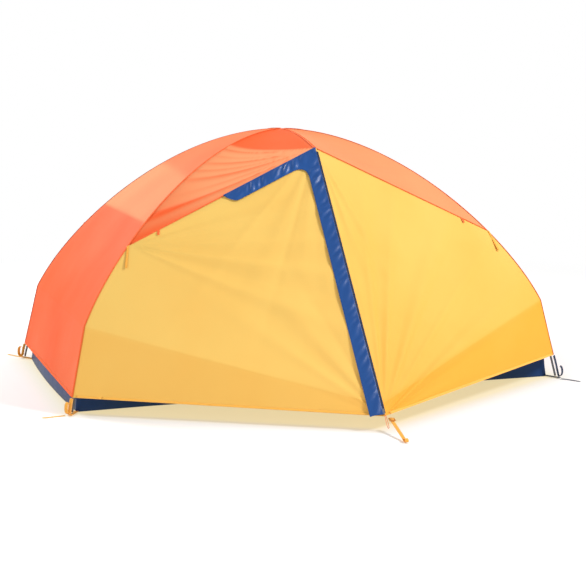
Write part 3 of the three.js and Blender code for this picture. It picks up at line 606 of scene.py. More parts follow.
FRONT_LEFT_ROUTE = (
    (-0.024, -0.009), (-0.040, -0.013), (-0.062, -0.012), (-0.084, -0.016), (-0.104, -0.019),
    (-0.117, -0.016), (-0.120, -0.010), (-0.112, -0.007), (-0.092, -0.008), (-0.070, -0.003),
    (-0.048, -0.002), (-0.027, 0.004),
)  # from the foot's middle, on the ground
BACK_LEFT_ROUTE = (
    (-0.014, 0.026), (-0.024, 0.036), (-0.038, 0.054), (-0.052, 0.078), (-0.062, 0.098),
    (-0.064, 0.107), (-0.058, 0.106), (-0.050, 0.094), (-0.038, 0.074), (-0.024, 0.052),
    (-0.012, 0.040), (-0.003, 0.033),
)
STAKE_CORD = 0.0025
PULL_CORD_SIZE = 0.0022
PULL_LENGTH = 0.058
PULL_WIDTH = 0.007
PULL_OFFSET = 0.0036  # the pull's top, to the right of the zip's foot
PULL_TOP = 0.0039  # up along the zip from its foot
PULL_STANDOFF = 0.0045  # out of the cloth


def cord_curve(name, points, diameter, material, body, slot, node):
    """A round limp cord on one open line through its points."""
    line = bpy.data.curves.new(name, "CURVE")
    line.dimensions = "3D"
    line.bevel_depth = diameter / 2
    line.bevel_resolution = 4
    line.use_fill_caps = True
    spline = line.splines.new("POLY")
    spline.points.add(len(points) - 1)
    spline.points.foreach_set("co", np.c_[points, np.ones(len(points))].ravel())
    made = bpy.data.objects.new(name, line)
    bpy.context.scene.collection.objects.link(made)
    dress(made, material, body, slot, node)
    float(run_along(points)[-1])


def make_stake_cords():
    """Each stake-out cord lies on the ground in a narrow loop from its corner's webbing and back."""
    for label, x_sign, y_sign, *_ in CORNERS:
        route = np.array(FRONT_LEFT_ROUTE if x_sign == y_sign else BACK_LEFT_ROUTE)
        flat = foot_at(x_sign, y_sign) - x_sign * route
        points = smooth_path(np.c_[flat, np.full(len(flat), STAKE_CORD / 2 + 0.0001)], 56)
        material, slot = (HEAD_CORD, "head_webbing") if x_sign < 0 else (FOOT_CORD, "foot_webbing")
        name, node = f"stake_cord_loop_{label}", f"stake_cord_{label}"
        cord_curve(name, points, STAKE_CORD, material, "tent", slot, node)


ZIP_UP = unit(PEAK - ZIP_FOOT)
ZIP_OUT = np.cross([1.0, 0, 0], ZIP_UP)


def on_zip(x, up, out):
    """A point beside the zip's foot: to the right, up along the zip and out of the cloth."""
    return ZIP_FOOT + np.array([1.0, 0, 0]) * x + ZIP_UP * up + ZIP_OUT * out


def make_pulls():
    """Each zip pull is a loop of thin cord that hangs from the slider."""
    # shares of half the loop's width and of its length
    left = ((-0.4, 0), (-0.9, 0.35), (-1, 0.7), (-0.7, 0.93))
    route = (*left, (0, 1), *((-x, share) for x, share in left[::-1]))
    corners = [
        on_zip(PULL_OFFSET + x * PULL_WIDTH / 2, PULL_TOP - share * PULL_LENGTH, PULL_STANDOFF)
        for x, share in route
    ]
    for label, spin, *_ in SIDES:
        points = smooth_path(corners, 60) * spun(spin)
        name, node = f"zip_pull_loop_{label}", f"zip_pull_{label}"
        cord_curve(name, points, PULL_CORD_SIZE, PULL_CORD, f"pull_{label}", "pull", node)


make_stake_cords()
make_pulls()

# ---- Folds in the cloth ----


def held_edges(u, v, margin):
    """0 on a panel's edges, rising to 1 over the margin by the smooth step 3t^2 - 2t^3."""
    t = np.clip(np.minimum(np.minimum(u, 1 - u), np.minimum(v, 1 - v)) / margin, 0, 1)
    return t * t * (3 - 2 * t)


def fan(points, apex, toward, normal, crests, reach):
    """Folds that run out from an apex. A crest (angle, width, height) is height times
    exp(-((a - angle) / width)^2), and all of them grow and fade with distance r as
    (r / reach) exp(1 - r / reach)."""
    first = unit(toward - apex)
    second = np.cross(unit(normal), first)
    away = points - apex
    r = np.linalg.norm(away, axis=-1)
    angle = np.arctan2((away * second).sum(-1), (away * first).sum(-1))
    total = sum(height * np.exp(-(((angle - at) / width) ** 2)) for at, width, height in crests)
    return total * (r / reach) * np.exp(1 - r / reach)


def ripples(points, direction, length, height, seed):
    """Soft uneven waves across a direction: three sines of nearly the same length, bent by a slower
    wave along the crests."""
    random = np.random.default_rng(seed)
    direction = unit(np.asarray(direction, float))
    along = points @ direction
    side = points @ unit(np.cross(direction, [0.2, 0.3, 0.93]))
    total = 0
    for stretch in (0.7, 1.0, 1.45):
        phase, bend = random.uniform(0, 6.28, 2)
        total = total + np.sin(TURN * along / (length * stretch) + phase + 0.9 * np.sin(side * 4 + bend))
    return height * total / 3


def crest_list(seed, count, low, high, height, width):
    """Crests at uneven angles from low to high, with uneven widths and heights of both signs."""
    random = np.random.default_rng(seed)
    angles = np.linspace(low, high, count) + random.uniform(-0.35, 0.35, count) * (high - low) / count
    widths = random.uniform(*width, count)
    heights = height * random.uniform(0.35, 1.0, count) * np.where(np.arange(count) % 2, -0.6, 1)
    return list(zip(angles, widths, heights))


# ---- Fly ----

ROOF_SAG = 0.010
END_SAG = 0.008
BELLY = 0.012  # of the vestibule's panels, inwards
SEAM_END = at_corner(ridge_at(SEAM_RADIUS), -1, -1)  # where the roof seam meets the front left ridge
SEAM_END_RIGHT = at_corner(ridge_at(SEAM_RADIUS), 1, -1)
TO_CROWN = np.array([0, 0, CROWN]) - PEAK
ROOF_NORMAL = unit(np.cross(SEAM_END_RIGHT - PEAK, TO_CROWN) + np.cross(TO_CROWN, SEAM_END - PEAK))


def roof_half(u, v):
    """The roof in front of the crossing, from the seam (v 0) to the crown (v 1): straight lines along
    X from ridge to short pole to ridge, sagging by a half sine."""
    radius = mix(SEAM_RADIUS, ROOF_TIP, v)
    edge = ridge_at(radius)
    across = 2 * u - 1
    y = radius * ALONG[1]
    sag = ROOF_SAG * np.sin(np.pi * np.abs(across)) * np.sin(np.pi * np.clip(1 - v, 0, 1)) ** 0.7
    z = mix(brow_height(y), edge[..., 1], np.abs(across)) - sag
    return np.stack([radius * ALONG[0] * across, -y, z], -1)


def roof_folds(points, u, v):
    """Sharp folds from the peak out over the left half, the step down across the long fold, and a few
    soft folds on the right."""
    share = roof_angle(points)
    left = step(-points[..., 0] - 0.01, 0.006)
    sharp = 0.006 * roof_streaks(points) * left
    r = np.linalg.norm(points - PEAK, axis=-1)
    ledge = 0.006 * np.exp(-(((share - 1) / 0.05) ** 2)) * left * np.clip(r / 0.2, 0, 1)
    right = crest_list(4, 4, -3.0, -2.5, 0.0025, (0.05, 0.1))
    soft = fan(points, PEAK, SEAM_END, -ROOF_NORMAL, [(-a, w, h) for a, w, h in right], 0.4)
    return (sharp + ledge + soft) * held_edges(u, v, 0.03)


def end_surface(x_sign, hem):
    """An end panel between two ridges, straight across, with a slight sag."""

    def surface(u, v):
        edge = ridge_edge(v, 1, 1, hem, ROOF_TIP)
        sag = END_SAG * np.sin(np.pi * u) * np.sin(np.pi * v)
        x, y = edge[..., 0] - sag, edge[..., 1] * (2 * u - 1)
        return np.stack([x_sign * x, x_sign * y, edge[..., 2] - sag * v], -1)

    return surface


def end_folds(points, u, v):
    """Soft waves across the panel, none at its edges."""
    return ripples(points, (0.2, 1, 0.3), 0.42, 0.0022, 5) * held_edges(u, v, 0.12)


def step(value, softness):
    """0 well below zero, 1 well above it: 1 / (1 + exp(-value / softness))."""
    return 1 / (1 + np.exp(np.clip(-value / softness, -60, 60)))


def end_painted_shade(x_sign):
    """Painted shade: full tone low down, where the inner tent's cloth stands behind and holds back the
    light, a paler painted through-light above a slanting edge, and half way back again near the crown."""

    def painted_shade(points, u, v):
        across, height = -points[..., 1] * x_sign, points[..., 2]
        low = step(0.743 + 0.005 * across - height, 0.0022)
        top = step(height - 0.925 - 0.04 * across, 0.005)
        middle = 0.10 + 0.1 * np.sin(across * 13 + height * 9)
        return 0.92 * low + 0.62 * top + middle * (1 - low) * (1 - top)

    return painted_shade


ROOF_FOLD = at_corner(ridge_at(0.34), -1, -1)  # where the roof's long fold meets the ridge
ROOF_AXIS = unit(SEAM_END - PEAK)
ROOF_SIDE = unit(np.cross(ROOF_NORMAL, ROOF_AXIS))
ROOF_SIDE = ROOF_SIDE * np.sign(ROOF_SIDE[1])
STREAKS = (
    (0.10, 0.020, 0.9), (0.22, 0.018, 0.55), (0.34, 0.030, 1.0), (0.47, 0.014, 0.6),
    (0.60, 0.026, 0.95), (0.74, 0.012, 0.45), (0.90, 0.020, 0.8),
)  # the left roof's folds: share of the angle from seam to long fold, width, strength


def roof_angle(points):
    """Angle round the peak from the left roof seam, as a share of the angle to the long fold."""
    away = points - PEAK
    whole = np.arctan2((ROOF_FOLD - PEAK) @ ROOF_SIDE, (ROOF_FOLD - PEAK) @ ROOF_AXIS)
    return np.arctan2(away @ ROOF_SIDE, away @ ROOF_AXIS) / whole


def roof_streaks(points):
    """The left roof's folds: a sum of strength times exp(-((share - place) / width)^2), fading in with
    distance from the peak and out again towards the ridge."""
    share = roof_angle(points)
    r = np.linalg.norm(points - PEAK, axis=-1)
    spread = 0.6 + 0.9 * r
    total = sum(power * np.exp(-(((share - at) / (width * spread)) ** 2)) for at, width, power in STREAKS)
    return total * step(r - 0.05, 0.02) * step(0.62 + 0.25 * np.sin(share * 17) - r, 0.06)


def roof_painted_shade(points, u, v):
    """Painted shade: full tone between the long fold and the crown and along the folds, and a paler painted
    through-light over the rest.
    """
    share = roof_angle(points)
    left = step(-points[..., 0], 0.004)
    crown = step(share - 1, 0.012) * left
    near_seam = 0.45 * np.exp(-((share / 0.05) ** 2))
    far = 0.5 * step(np.linalg.norm(points - PEAK, axis=-1) - 0.60, 0.07)
    folds = np.clip(roof_streaks(points) * 0.8 + near_seam + far, 0, 1) * left * (1 - crown)
    right_crown = 0.3 * step(points[..., 1] + 0.12, 0.03) * (1 - left)
    return 0.06 + 0.92 * crown + folds + right_crown


def door_surface(hem):
    """Straight lines from the left ridge to the zip."""

    def surface(u, v):
        left = ridge_edge(v, -1, -1, hem, SEAM_RADIUS)
        return mix(left, zip_edge(v), u[..., None])

    return surface


def fixed_surface(hem):
    """Straight lines from the zip to the right ridge."""

    def surface(u, v):
        right = ridge_edge(v, 1, -1, hem, SEAM_RADIUS)
        return mix(zip_edge(v), right, u[..., None])

    return surface


PANEL_OUT = unit(np.cross(SEAM_END - PEAK, ZIP_FOOT - PEAK))
PANEL_OUT = PANEL_OUT * np.sign(-PANEL_OUT[1])
RIGHT_OUT = PANEL_OUT * np.array([-1, 1, 1])


def belly(u, v):
    """A slight hollow between a panel's edges: a half sine each way."""
    return -BELLY * np.sin(np.pi * u) * np.sin(np.pi * v)


def door_folds(points, u, v):
    """Long folds from the seam's outer end down to the right, short ones beside the flap, a few from
    the zip's foot, and a slight belly between the edges."""
    long_ones = crest_list(11, 9, 0.25, 1.12, 0.008, (0.025, 0.065))
    beside = crest_list(12, 7, -0.8, -0.04, 0.0045, (0.03, 0.08))
    low = crest_list(13, 6, 0.1, 0.9, 0.006, (0.04, 0.08))
    total = fan(points, SEAM_END, ZIP_FOOT, PANEL_OUT, long_ones, 0.42)
    total = total + fan(points, PEAK, ZIP_FOOT, PANEL_OUT, beside, 0.32)
    total = total + fan(points, ZIP_FOOT, PEAK, PANEL_OUT, low, 0.3)
    return total * held_edges(u, v, 0.04) + belly(u, v)


def fixed_folds(points, u, v):
    """Folds that spread from the zip's foot up the panel and a few down from the peak."""
    foot = crest_list(21, 12, -1.15, -0.05, 0.011, (0.02, 0.05))
    peak = crest_list(22, 5, 0.04, 0.35, 0.009, (0.02, 0.04))
    total = fan(points, ZIP_FOOT, PEAK, RIGHT_OUT, foot, 0.42)
    total = total + fan(points, PEAK, ZIP_FOOT, RIGHT_OUT, peak, 0.22)
    return total * held_edges(u, v, 0.04) + belly(u, v)


def vestibule_painted_shade(points, u, v):
    """Painted shade: a fuller colour under the crease, and uneven streaks up the panel."""
    low = step(BEND_ROW - v, 0.006)
    streak = 0.5 + 0.5 * np.sin(u * 9 + 2.5 * np.sin(u * 5 + 1)) * np.cos(v * 3)
    return 0.32 * low + 0.06 * (1 - v) + 0.12 * streak


def fixed_painted_shade(points, u, v):
    """The door's painted shade, with more painted shade towards the foot of the panel."""
    return vestibule_painted_shade(points, u, v) + 0.30 + 0.34 * (1 - v)


HALVES = (("left", SEAM_END, PANEL_OUT), ("right", SEAM_END_RIGHT, RIGHT_OUT))


def turned(surface, spin):
    """A surface of the front, carried to the side that spin names."""
    return lambda u, v: surface(u, v) * spun(spin)


def shaped(folds, spin):
    """Folds or tones worked out on the front, for the side that spin names."""
    return lambda points, u, v: folds(points * spun(spin), u, v)


def make_roof():
    """The roof's two halves, from each seam to the crown."""
    for label, spin, *_ in SIDES:
        half = cloth(
            f"roof_panel_{label}", turned(roof_half, spin), 121, 81, shaped(roof_folds, spin),
            shaped(roof_painted_shade, spin),
        )
        nodes = ["fly_roof"] if label == "front" else []
        dress(half, ORANGE, "tent", "orange", *nodes)


def make_ends():
    """The end panels, at the head and at the foot."""
    for label, x_sign, hem in ENDS:
        panel = cloth(
            f"end_panel_{label}", end_surface(x_sign, hem), 81, 121, end_folds, end_painted_shade(x_sign),
        )
        dress(panel, ORANGE, "tent", "orange", f"fly_end_{label}")


def hinge_frame(hem):
    """The door's hinge line: its point on the roof seam, and its direction down to the crease."""
    top = mix(ridge_edge(1, -1, -1, hem, SEAM_RADIUS), zip_edge(1), 1 - ZIP_ARM)
    crease = mix(ridge_edge(BEND_ROW, -1, -1, hem, SEAM_RADIUS), zip_edge(BEND_ROW), HINGE_CREASE)
    return top, unit(crease - top)


BEND_ZONE = 0.05  # half the width of a band across the door's hinge
HINGE_MIDDLE = 0.35  # down the hinge from the seam


def make_vestibules():
    """On each side a door and a fixed panel. The door's hinge is worked out, but the door is not bent at it.
    """
    for label, spin, door_hem, fixed_hem in SIDES:
        door = cloth(
            f"door_panel_{label}", turned(door_surface(door_hem), spin), 161, 121, shaped(door_folds, spin),
            shaped(vestibule_painted_shade, spin),
        )
        dress(door, YELLOW, None, "yellow", f"vestibule_door_{label}", f"vestibule_side_{label}")
        top, axis = hinge_frame(door_hem)
        middle = top + axis * HINGE_MIDDLE
        toward = unit(np.cross(PANEL_OUT, axis))
        reach = toward * np.sign(toward[0]) * BEND_ZONE
        start, end = (middle - reach) * spun(spin), (middle + reach) * spun(spin)
        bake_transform(door)
        fixed = cloth(
            f"fixed_panel_{label}", turned(fixed_surface(fixed_hem), spin), 161, 121,
            shaped(fixed_folds, spin), shaped(fixed_painted_shade, spin),
        )
        dress(fixed, YELLOW, "tent", "yellow", f"vestibule_{label}")


def flap_surface(u, v):
    """The storm flap: ruled from its outer edge (u 1), which follows the roof seam to the peak (v 0.5
    to 1) and the zip down from it (v 0 to 0.5), to its inner edge. That runs level with the outer
    one, rounds the corner by a quadratic curve and bends out to the seam at the arm's end."""
    seam, down = unit(SEAM_END - PEAK), unit(ZIP_FOOT - PEAK)
    arm_length = ZIP_ARM * np.linalg.norm(SEAM_END - PEAK)
    run_length = np.linalg.norm(ZIP_FOOT - PEAK) - 0.006
    run = np.clip((0.5 - v) / 0.5, 0, 1)[..., None]
    arm = np.clip((v - 0.5) / 0.5, 0, 1)[..., None]
    outer = down * run * run_length + seam * arm * arm_length
    lean = down @ seam
    corner = (seam + down) * FLAP_WIDTH / np.sqrt(1 - lean**2)
    start, end = corner + down * FLAP_CORNER, corner + seam * FLAP_CORNER
    w = np.clip((v - (0.5 - FLAP_ROUND)) / (2 * FLAP_ROUND), 0, 1)[..., None]
    rounded = start * (1 - w) ** 2 + 2 * corner * w * (1 - w) + end * w**2
    rise = mix(run_length, start @ down, np.clip(v / (0.5 - FLAP_ROUND), 0, 1))[..., None]
    upright = unit(seam - down * lean) * FLAP_WIDTH + down * rise
    share = np.clip((v - 0.5 - FLAP_ROUND) / (0.5 - FLAP_ROUND), 0, 1)
    reach = mix(end @ seam, arm_length - FLAP_WIDTH * 0.3, share)[..., None]
    level = unit(down - seam * lean) * FLAP_WIDTH + seam * reach
    inner = np.where((v > 0.5 + FLAP_ROUND)[..., None], level, rounded)
    inner = np.where((v < 0.5 - FLAP_ROUND)[..., None], upright, inner)
    round_end = np.sqrt(1 - np.clip((v - 1 + FLAP_TIP) / FLAP_TIP, 0, 1) ** 2)
    inner = mix(outer, inner, (0.08 + 0.92 * round_end)[..., None])
    return PEAK + mix(inner, outer, u[..., None])


def flap_folds(points, u, v):
    """Slanting gathers, strong near the peak and weaker towards both ends, and a rolled middle."""
    random = np.random.default_rng(31)
    run = np.linalg.norm(points - PEAK, axis=-1)
    near = 0.35 + 0.65 * np.exp(-run / 0.28)
    total = 0
    for length, slope in ((0.034, 0.75), (0.057, 1.1), (0.093, 0.5)):
        phase = random.uniform(0, 6.28)
        line = run + slope * FLAP_WIDTH * u + 0.010 * np.sin(run * 23 + phase)
        wave = np.sin(TURN * line / length + phase)
        total = total + wave * np.abs(np.sin(run * 19 + 2 * phase))
    edges = np.clip(np.minimum(u, 1 - u) / 0.25, 0, 1)
    return 0.0032 * total * near * edges + 0.003 * np.sin(np.pi * u)


def flap_painted_shade(points, u, v):
    """Painted shade, a little fuller towards the flap's outer edge."""
    return 0.25 + 0.3 * u


def make_flaps():
    """The storm flap over each zip."""
    for label, spin, *_ in SIDES:
        flap = cloth(
            f"storm_flap_cloth_{label}", turned(flap_surface, spin), 17, 481, shaped(flap_folds, spin),
            flap_painted_shade, FLAP_STANDOFF,
        )
        dress(flap, BLUE, f"door_{label}", "flap", f"storm_flap_{label}")


make_roof()
make_ends()
make_vestibules()
make_flaps()

# ---- Poles ----


def hollow_section(name, path, side, node):
    """A tube section: its outer wall, its two rims and its bore as one closed net along the path."""
    _, across, out = frames(path, side)
    ring = circle(1.0, 20)
    around = across[:, None] * ring[:, :1] + out[:, None] * ring[:, 1:]
    outer, bore = (path[:, None] + radius * around for radius in (POLE_RADIUS, BORE_RADIUS))
    net = np.concatenate([outer, bore[::-1]])
    faces = net_faces(len(net) + 1, len(ring), closed=True) % (len(net) * len(ring))
    made = make_object(name, net.reshape(-1, 3), faces.tolist())
    outward(made)
    dress(made, TUBE, "tent", "tube", node)


def pole_line(x_sign, crown):
    """A long pole's middle line from its front foot to its back one: leg, arch, arch and leg. With it,
    the length along it and the direction across its plane."""
    foot, elbow, arch = arch_outline(0, crown)
    leg = mix(foot, elbow, np.linspace(0, 1, 40)[:, None])
    climb = bezier(arch, np.linspace(1, 0, 200))
    half = np.vstack([leg, climb[1:]])
    line = np.vstack([at_corner(half, x_sign, -1), at_corner(half, -x_sign, 1)[-2::-1]])
    side = unit(np.cross(line[0] - line[len(line) // 2], [0, 0, 1.0]))
    return line, run_along(line), side


def piece_of(line, run, start, end, count):
    """The stretch of a line between two lengths along it, by linear reading."""
    at = np.linspace(start, end, count)
    return np.stack([np.interp(at, run, line[:, k]) for k in range(3)], -1)


def brow_line(reach, count):
    """The short pole's middle line, from the front (-reach) to the back."""
    y = np.linspace(-reach, reach, count)
    return np.stack([np.zeros_like(y), y, brow_height(y) - (CROWN - BROW_CROWN)], -1)


TIP_LIFT = 0.0015
TIP_PIN = 0.012
SECTION_GAP = 0.0003
FERRULE_REACH = 0.05  # into each of the two sections it joins
LONG_POLES = (
    ("lower_pole", -1, LOWER_CROWN, "front_left", "back_right"),
    ("upper_pole", 1, UPPER_CROWN, "front_right", "back_left"),
)
CAP_PROFILE = (
    (0.0002, -0.006), (0.0030, -0.0055), (0.0046, -0.004), (0.0050, -0.001), (0.0050, 0.012),
    (0.0046, 0.013), (0.0046, 0.0006), (0.0002, 0.0006),
)  # the short pole's end cap: (radius, height)


def make_pole_tip(label, low, high):
    """A turned tip: a round foot, a pin, a collar against the tube's rim and a plug in its bore."""
    length = np.linalg.norm(high - low)
    profile = (
        (0.0002, 0), (0.0016, 0.0002), (0.0024, 0.0012), (0.0026, 0.003), (0.0026, length - 0.002),
        (0.0036, length - 0.0015), (0.0044, length - 0.0006), (0.0045, length), (0.0036, length + 0.0004),
        (0.0036, length + 0.012), (0.0002, length + 0.012),
    )
    dress(lathe(f"pole_tip_{label}", low, high - low, profile), TIP, "tent", "tube")


def make_long_poles():
    """Two poles from corner to corner: five hollow sections, the ferrules between them, and the tips."""
    for pole, x_sign, crown, near, far in LONG_POLES:
        line, run, side = pole_line(x_sign, crown)
        cut = TIP_LIFT + TIP_PIN
        joints = np.linspace(cut, run[-1] - cut, 6)
        for i, label in enumerate((f"leg_{near}", f"arch_{near}", "crown", f"arch_{far}", f"leg_{far}")):
            start = joints[i] + (SECTION_GAP / 2 if i else 0)
            end = joints[i + 1] - (SECTION_GAP / 2 if i < 4 else 0)
            path = piece_of(line, run, start, end, 49)
            hollow_section(f"{pole}_tube_{label}", path, side, f"{pole}_{label}")
            if i < 4:
                path = piece_of(line, run, end - FERRULE_REACH, end + FERRULE_REACH, 9)
                ferrule = sweep(f"{pole}_ferrule_{label}", path, side, circle(FERRULE_RADIUS))
                dress(ferrule, TIP, "tent", "tube")
        make_pole_tip(near, *piece_of(line, run, TIP_LIFT, cut, 2))
        make_pole_tip(far, *piece_of(line, run, run[-1] - TIP_LIFT, run[-1] - cut, 2))


def make_brow_pole():
    """The short pole over the crown: two hollow sections with a cap on each outer end."""
    brow = brow_line(-PEAK[1] - CLOTH - 0.010, 121)
    along = brow[1] - brow[0]
    for label, path, mirror in (("front", brow[:61], 1), ("back", brow[61:], -1)):
        hollow_section(f"brow_pole_tube_{label}", path, RIGHT, f"brow_pole_{label}")
        flip = np.array([1, mirror, 1])
        cap = lathe(f"brow_tip_cap_{label}", brow[0] * flip, along * flip, CAP_PROFILE)
        dress(cap, DARK_PLASTIC, "tent", "hub")


def make_shock_cords():
    """The elastic cords through the poles' bores."""
    for pole, x_sign, crown, *_ in LONG_POLES:
        line, run, side = pole_line(x_sign, crown)
        path = piece_of(line, run, 0.03, run[-1] - 0.03, 200)
        cord = sweep(f"{pole}_elastic", path, side, circle(0.0012, 8))
        dress(cord, ELASTIC, "tent", "elastic", f"{pole}_shock_cord")
    cord = sweep("brow_pole_elastic", brow_line(0.42, 60), RIGHT, circle(0.0012, 8))
    dress(cord, ELASTIC, "tent", "elastic", "brow_pole_shock_cord")


make_long_poles()
make_brow_pole()
make_shock_cords()

# ---- Webbing ----


def strap(name, points, side, size, finish, nodes, count=60):
    """A webbing strap through the points; its size is its width, along side, and its thickness."""
    material, slot = finish
    dress(sweep(name, smooth_path(points, count), side, band(*size)), material, "tent", slot, *nodes)


HEAD_FINISH = (HEAD_WEBBING, "head_webbing")
FOOT_FINISH = (FOOT_WEBBING, "foot_webbing")
STRAP_TURN = 1.2  # how far a corner strap's width is turned from across its pole towards the front


def plumb_on(out):
    """The direction down a panel whose outward direction is out, and the one across it."""
    down = unit(out * out[2] - UP)
    return down, unit(np.cross(out, down))


def make_corner(label, x_sign, y_sign, hem):
    """A corner's fly strap with its loose loop, its floor webbing and that webbing's two eyelets."""
    finish = HEAD_FINISH if x_sign < 0 else FOOT_FINISH
    side = unit(np.array([-y_sign * (ALONG[1] + STRAP_TURN), x_sign * ALONG[0], 0]))
    top, low = leg_at(hem - 0.003), leg_at(0.016)
    end = DIAGONAL + 0.022
    outline = [
        top, mix(top, low, 0.4) + [0.001, 0], low, low + [0.006, -0.005], (end - 0.004, low[1] - 0.006),
        (end + 0.003, low[1]), (end + 0.006, low[1] + 0.014), (end + 0.003, low[1] + 0.032),
        (end - 0.004, low[1] + 0.040),
    ]
    path = at_corner(np.array(outline), x_sign, y_sign)
    size, nodes = (STRAP_WIDTH, WEBBING), [f"fly_strap_{label}"]
    strap(f"fly_corner_strap_{label}", path, side, size, finish, nodes)
    corner = np.array([x_sign, y_sign]) * (TUB[:2] / 2 - 0.004)
    foot = foot_at(x_sign, y_sign)
    along = unit(foot - corner)
    flat = mix(corner, foot + along * 0.022, np.linspace(0, 1, 12)[:, None])
    path, side = np.c_[flat, np.full(12, 0.00475)], np.array([-along[1], along[0], 0])
    nodes = [f"corner_webbing_{label}"]
    strap(f"floor_corner_webbing_{label}", path, side, (0.020, WEBBING), finish, nodes, 24)
    ring = [(0.0042, 0), (0.0058, 0), (0.0072, 0.0004), (0.0064, 0.0012), (0.0046, 0.0014), (0.0042, 0.0008)]
    for name, rise, up in (("top", 0.0055, 1), ("under", 0.0040, -1)):
        eyelet = lathe(f"eyelet_{name}_{label}", np.array([*foot, rise]), (0, 0, up), ring)
        dress(eyelet, BRASS, "tent", "tube")


def make_guy_tab(label, x_sign, y_sign):
    """A loop of narrow webbing that hangs from the seam's outer end down over the vestibule."""
    turn = spun(-y_sign)
    top, out = (SEAM_END_RIGHT, RIGHT_OUT) if x_sign * -y_sign > 0 else (SEAM_END, PANEL_OUT)
    down, across = plumb_on(out)
    steps = (
        (0.001, 0.0010), (0.006, 0.0036), (0.020, 0.0046), (0.050, 0.0042), (0.085, 0.0050),
        (0.101, 0.0056), (0.106, 0.0040), (0.100, 0.0024), (0.085, 0.0022), (0.050, 0.0018),
        (0.020, 0.0020), (0.008, 0.0012),
    )
    points = np.array([top + down * fall + out * lift for fall, lift in steps]) * turn
    size, nodes = (0.008, 0.0009), [f"guy_tab_{label}"]
    strap(f"guy_loop_{label}", points, across * turn, size, HEAD_FINISH, nodes, 70)


def make_seam_tabs(label, spin):
    """Two short tabs that stick out from under the roof seams."""
    steps = (
        (0.002, 0.0012), (0.010, 0.0030), (0.020, 0.0042), (0.026, 0.0034), (0.019, 0.0022),
        (0.008, 0.0012),
    )
    for half, end, out in HALVES:
        root = mix(PEAK, end, 0.84)
        down, across = plumb_on(out)
        points = np.array([root + down * fall + out * lift for fall, lift in steps]) * spun(spin)
        finish = (BINDING, "orange")
        strap(f"seam_tab_{half}_{label}", points, across * spun(spin), (0.010, 0.0008), finish, [], 24)


def strap_frame():
    """The stake strap's start, its run to the ground, the side it is wide along and its upper face."""
    start = ZIP_FOOT + np.array([0.026, -0.003, -0.006])
    drop, drift, reach = 0.0494, 0.014, 0.2
    along = np.array([-drift, -np.sqrt(reach**2 - drop**2 - drift**2), -drop]) / reach
    side = unit(np.cross(UP, along))
    return start, along, side, np.cross(along, side)


def make_stake_strap(label, spin):
    """The strap from the vestibule's point to the ground: under, over and under the ladder lock's bars,
    and round at its end into the stake's loop."""
    start, along, side, above = strap_frame()
    low = -0.0031
    steps = (
        (-0.004, low), (0.004, low), (0.01025, low), (0.0138, -low - 0.0008), (0.0170, -low),
        (0.0202, -low - 0.0008), (0.02375, low), (0.060, low - 0.0004), (0.120, low), (0.174, low),
        (0.188, low + 0.0005), (0.197, low + 0.003), (0.200, low + 0.0075), (0.196, low + 0.012),
        (0.187, low + 0.0125), (0.176, low + 0.007), (0.168, low + 0.0024),
    )
    points = np.array([start + along * run + above * lift for run, lift in steps]) * spun(spin)
    size, nodes = (STRAP_WIDTH, WEBBING), [f"stake_strap_{label}"]
    strap(f"stake_webbing_{label}", points, side * spun(spin), size, HEAD_FINISH, nodes, 110)


for corner_label, corner_x, corner_y, corner_hem, _ in CORNERS:
    make_corner(corner_label, corner_x, corner_y, corner_hem)
    make_guy_tab(corner_label, corner_x, corner_y)
for side_label, side_spin, *_ in SIDES:
    make_stake_strap(side_label, side_spin)
    make_seam_tabs(side_label, side_spin)

# ---- Seams, hems and zips ----

ZIP_TURNS = 350

def tape(name, path, away, width, material, slot, body="tent", lift=0.0004):
    """A flat band along a line on the fly, just outside the cloth on the side that away points to."""
    side = np.cross(away, unit(np.gradient(path, axis=0)))
    _, _, out = frames(path, side)
    made = sweep(name, path + out * lift, side, band(width, 0.0008, 3))
    dress(made, material, body, slot)


def make_ridge_tapes():
    """Felled seams: a narrow band of the roof's cloth along each ridge, from the hem to the crown."""
    for label, x_sign, y_sign, hem, _ in CORNERS:
        path = ridge_edge(np.linspace(0.002, 1, 160), x_sign, y_sign, hem, 0.02)
        corner = unit(np.array([x_sign * ALONG[0], y_sign * ALONG[1], 0]))
        away = unit(path * np.array([1, 1, 0.9]) - 0.1 * UP) + 0.2 * corner
        tape(f"ridge_seam_{label}", path, away, 0.009, BINDING, "orange")


def make_roof_seams():
    """The seam between roof and vestibule, in two straight halves from the peak, and the raised welt
    over the short pole."""
    for label, spin, *_ in SIDES:
        for half, end, out in HALVES:
            path = mix(PEAK, end, np.linspace(0.01, 0.99, 60)[:, None]) * spun(spin)
            away = unit(out + ROOF_NORMAL) * spun(spin)
            tape(f"roof_seam_{half}_{label}", path, away, 0.007, BINDING, "orange", lift=0.0008)
        y = np.linspace(0.02, -PEAK[1] - 0.002, 60)
        welt = np.stack([np.zeros_like(y), -y, brow_height(y)], -1) * spun(spin)
        tape(f"brow_seam_{label}", welt, UP, 0.012, BINDING, "orange", lift=0.0006)


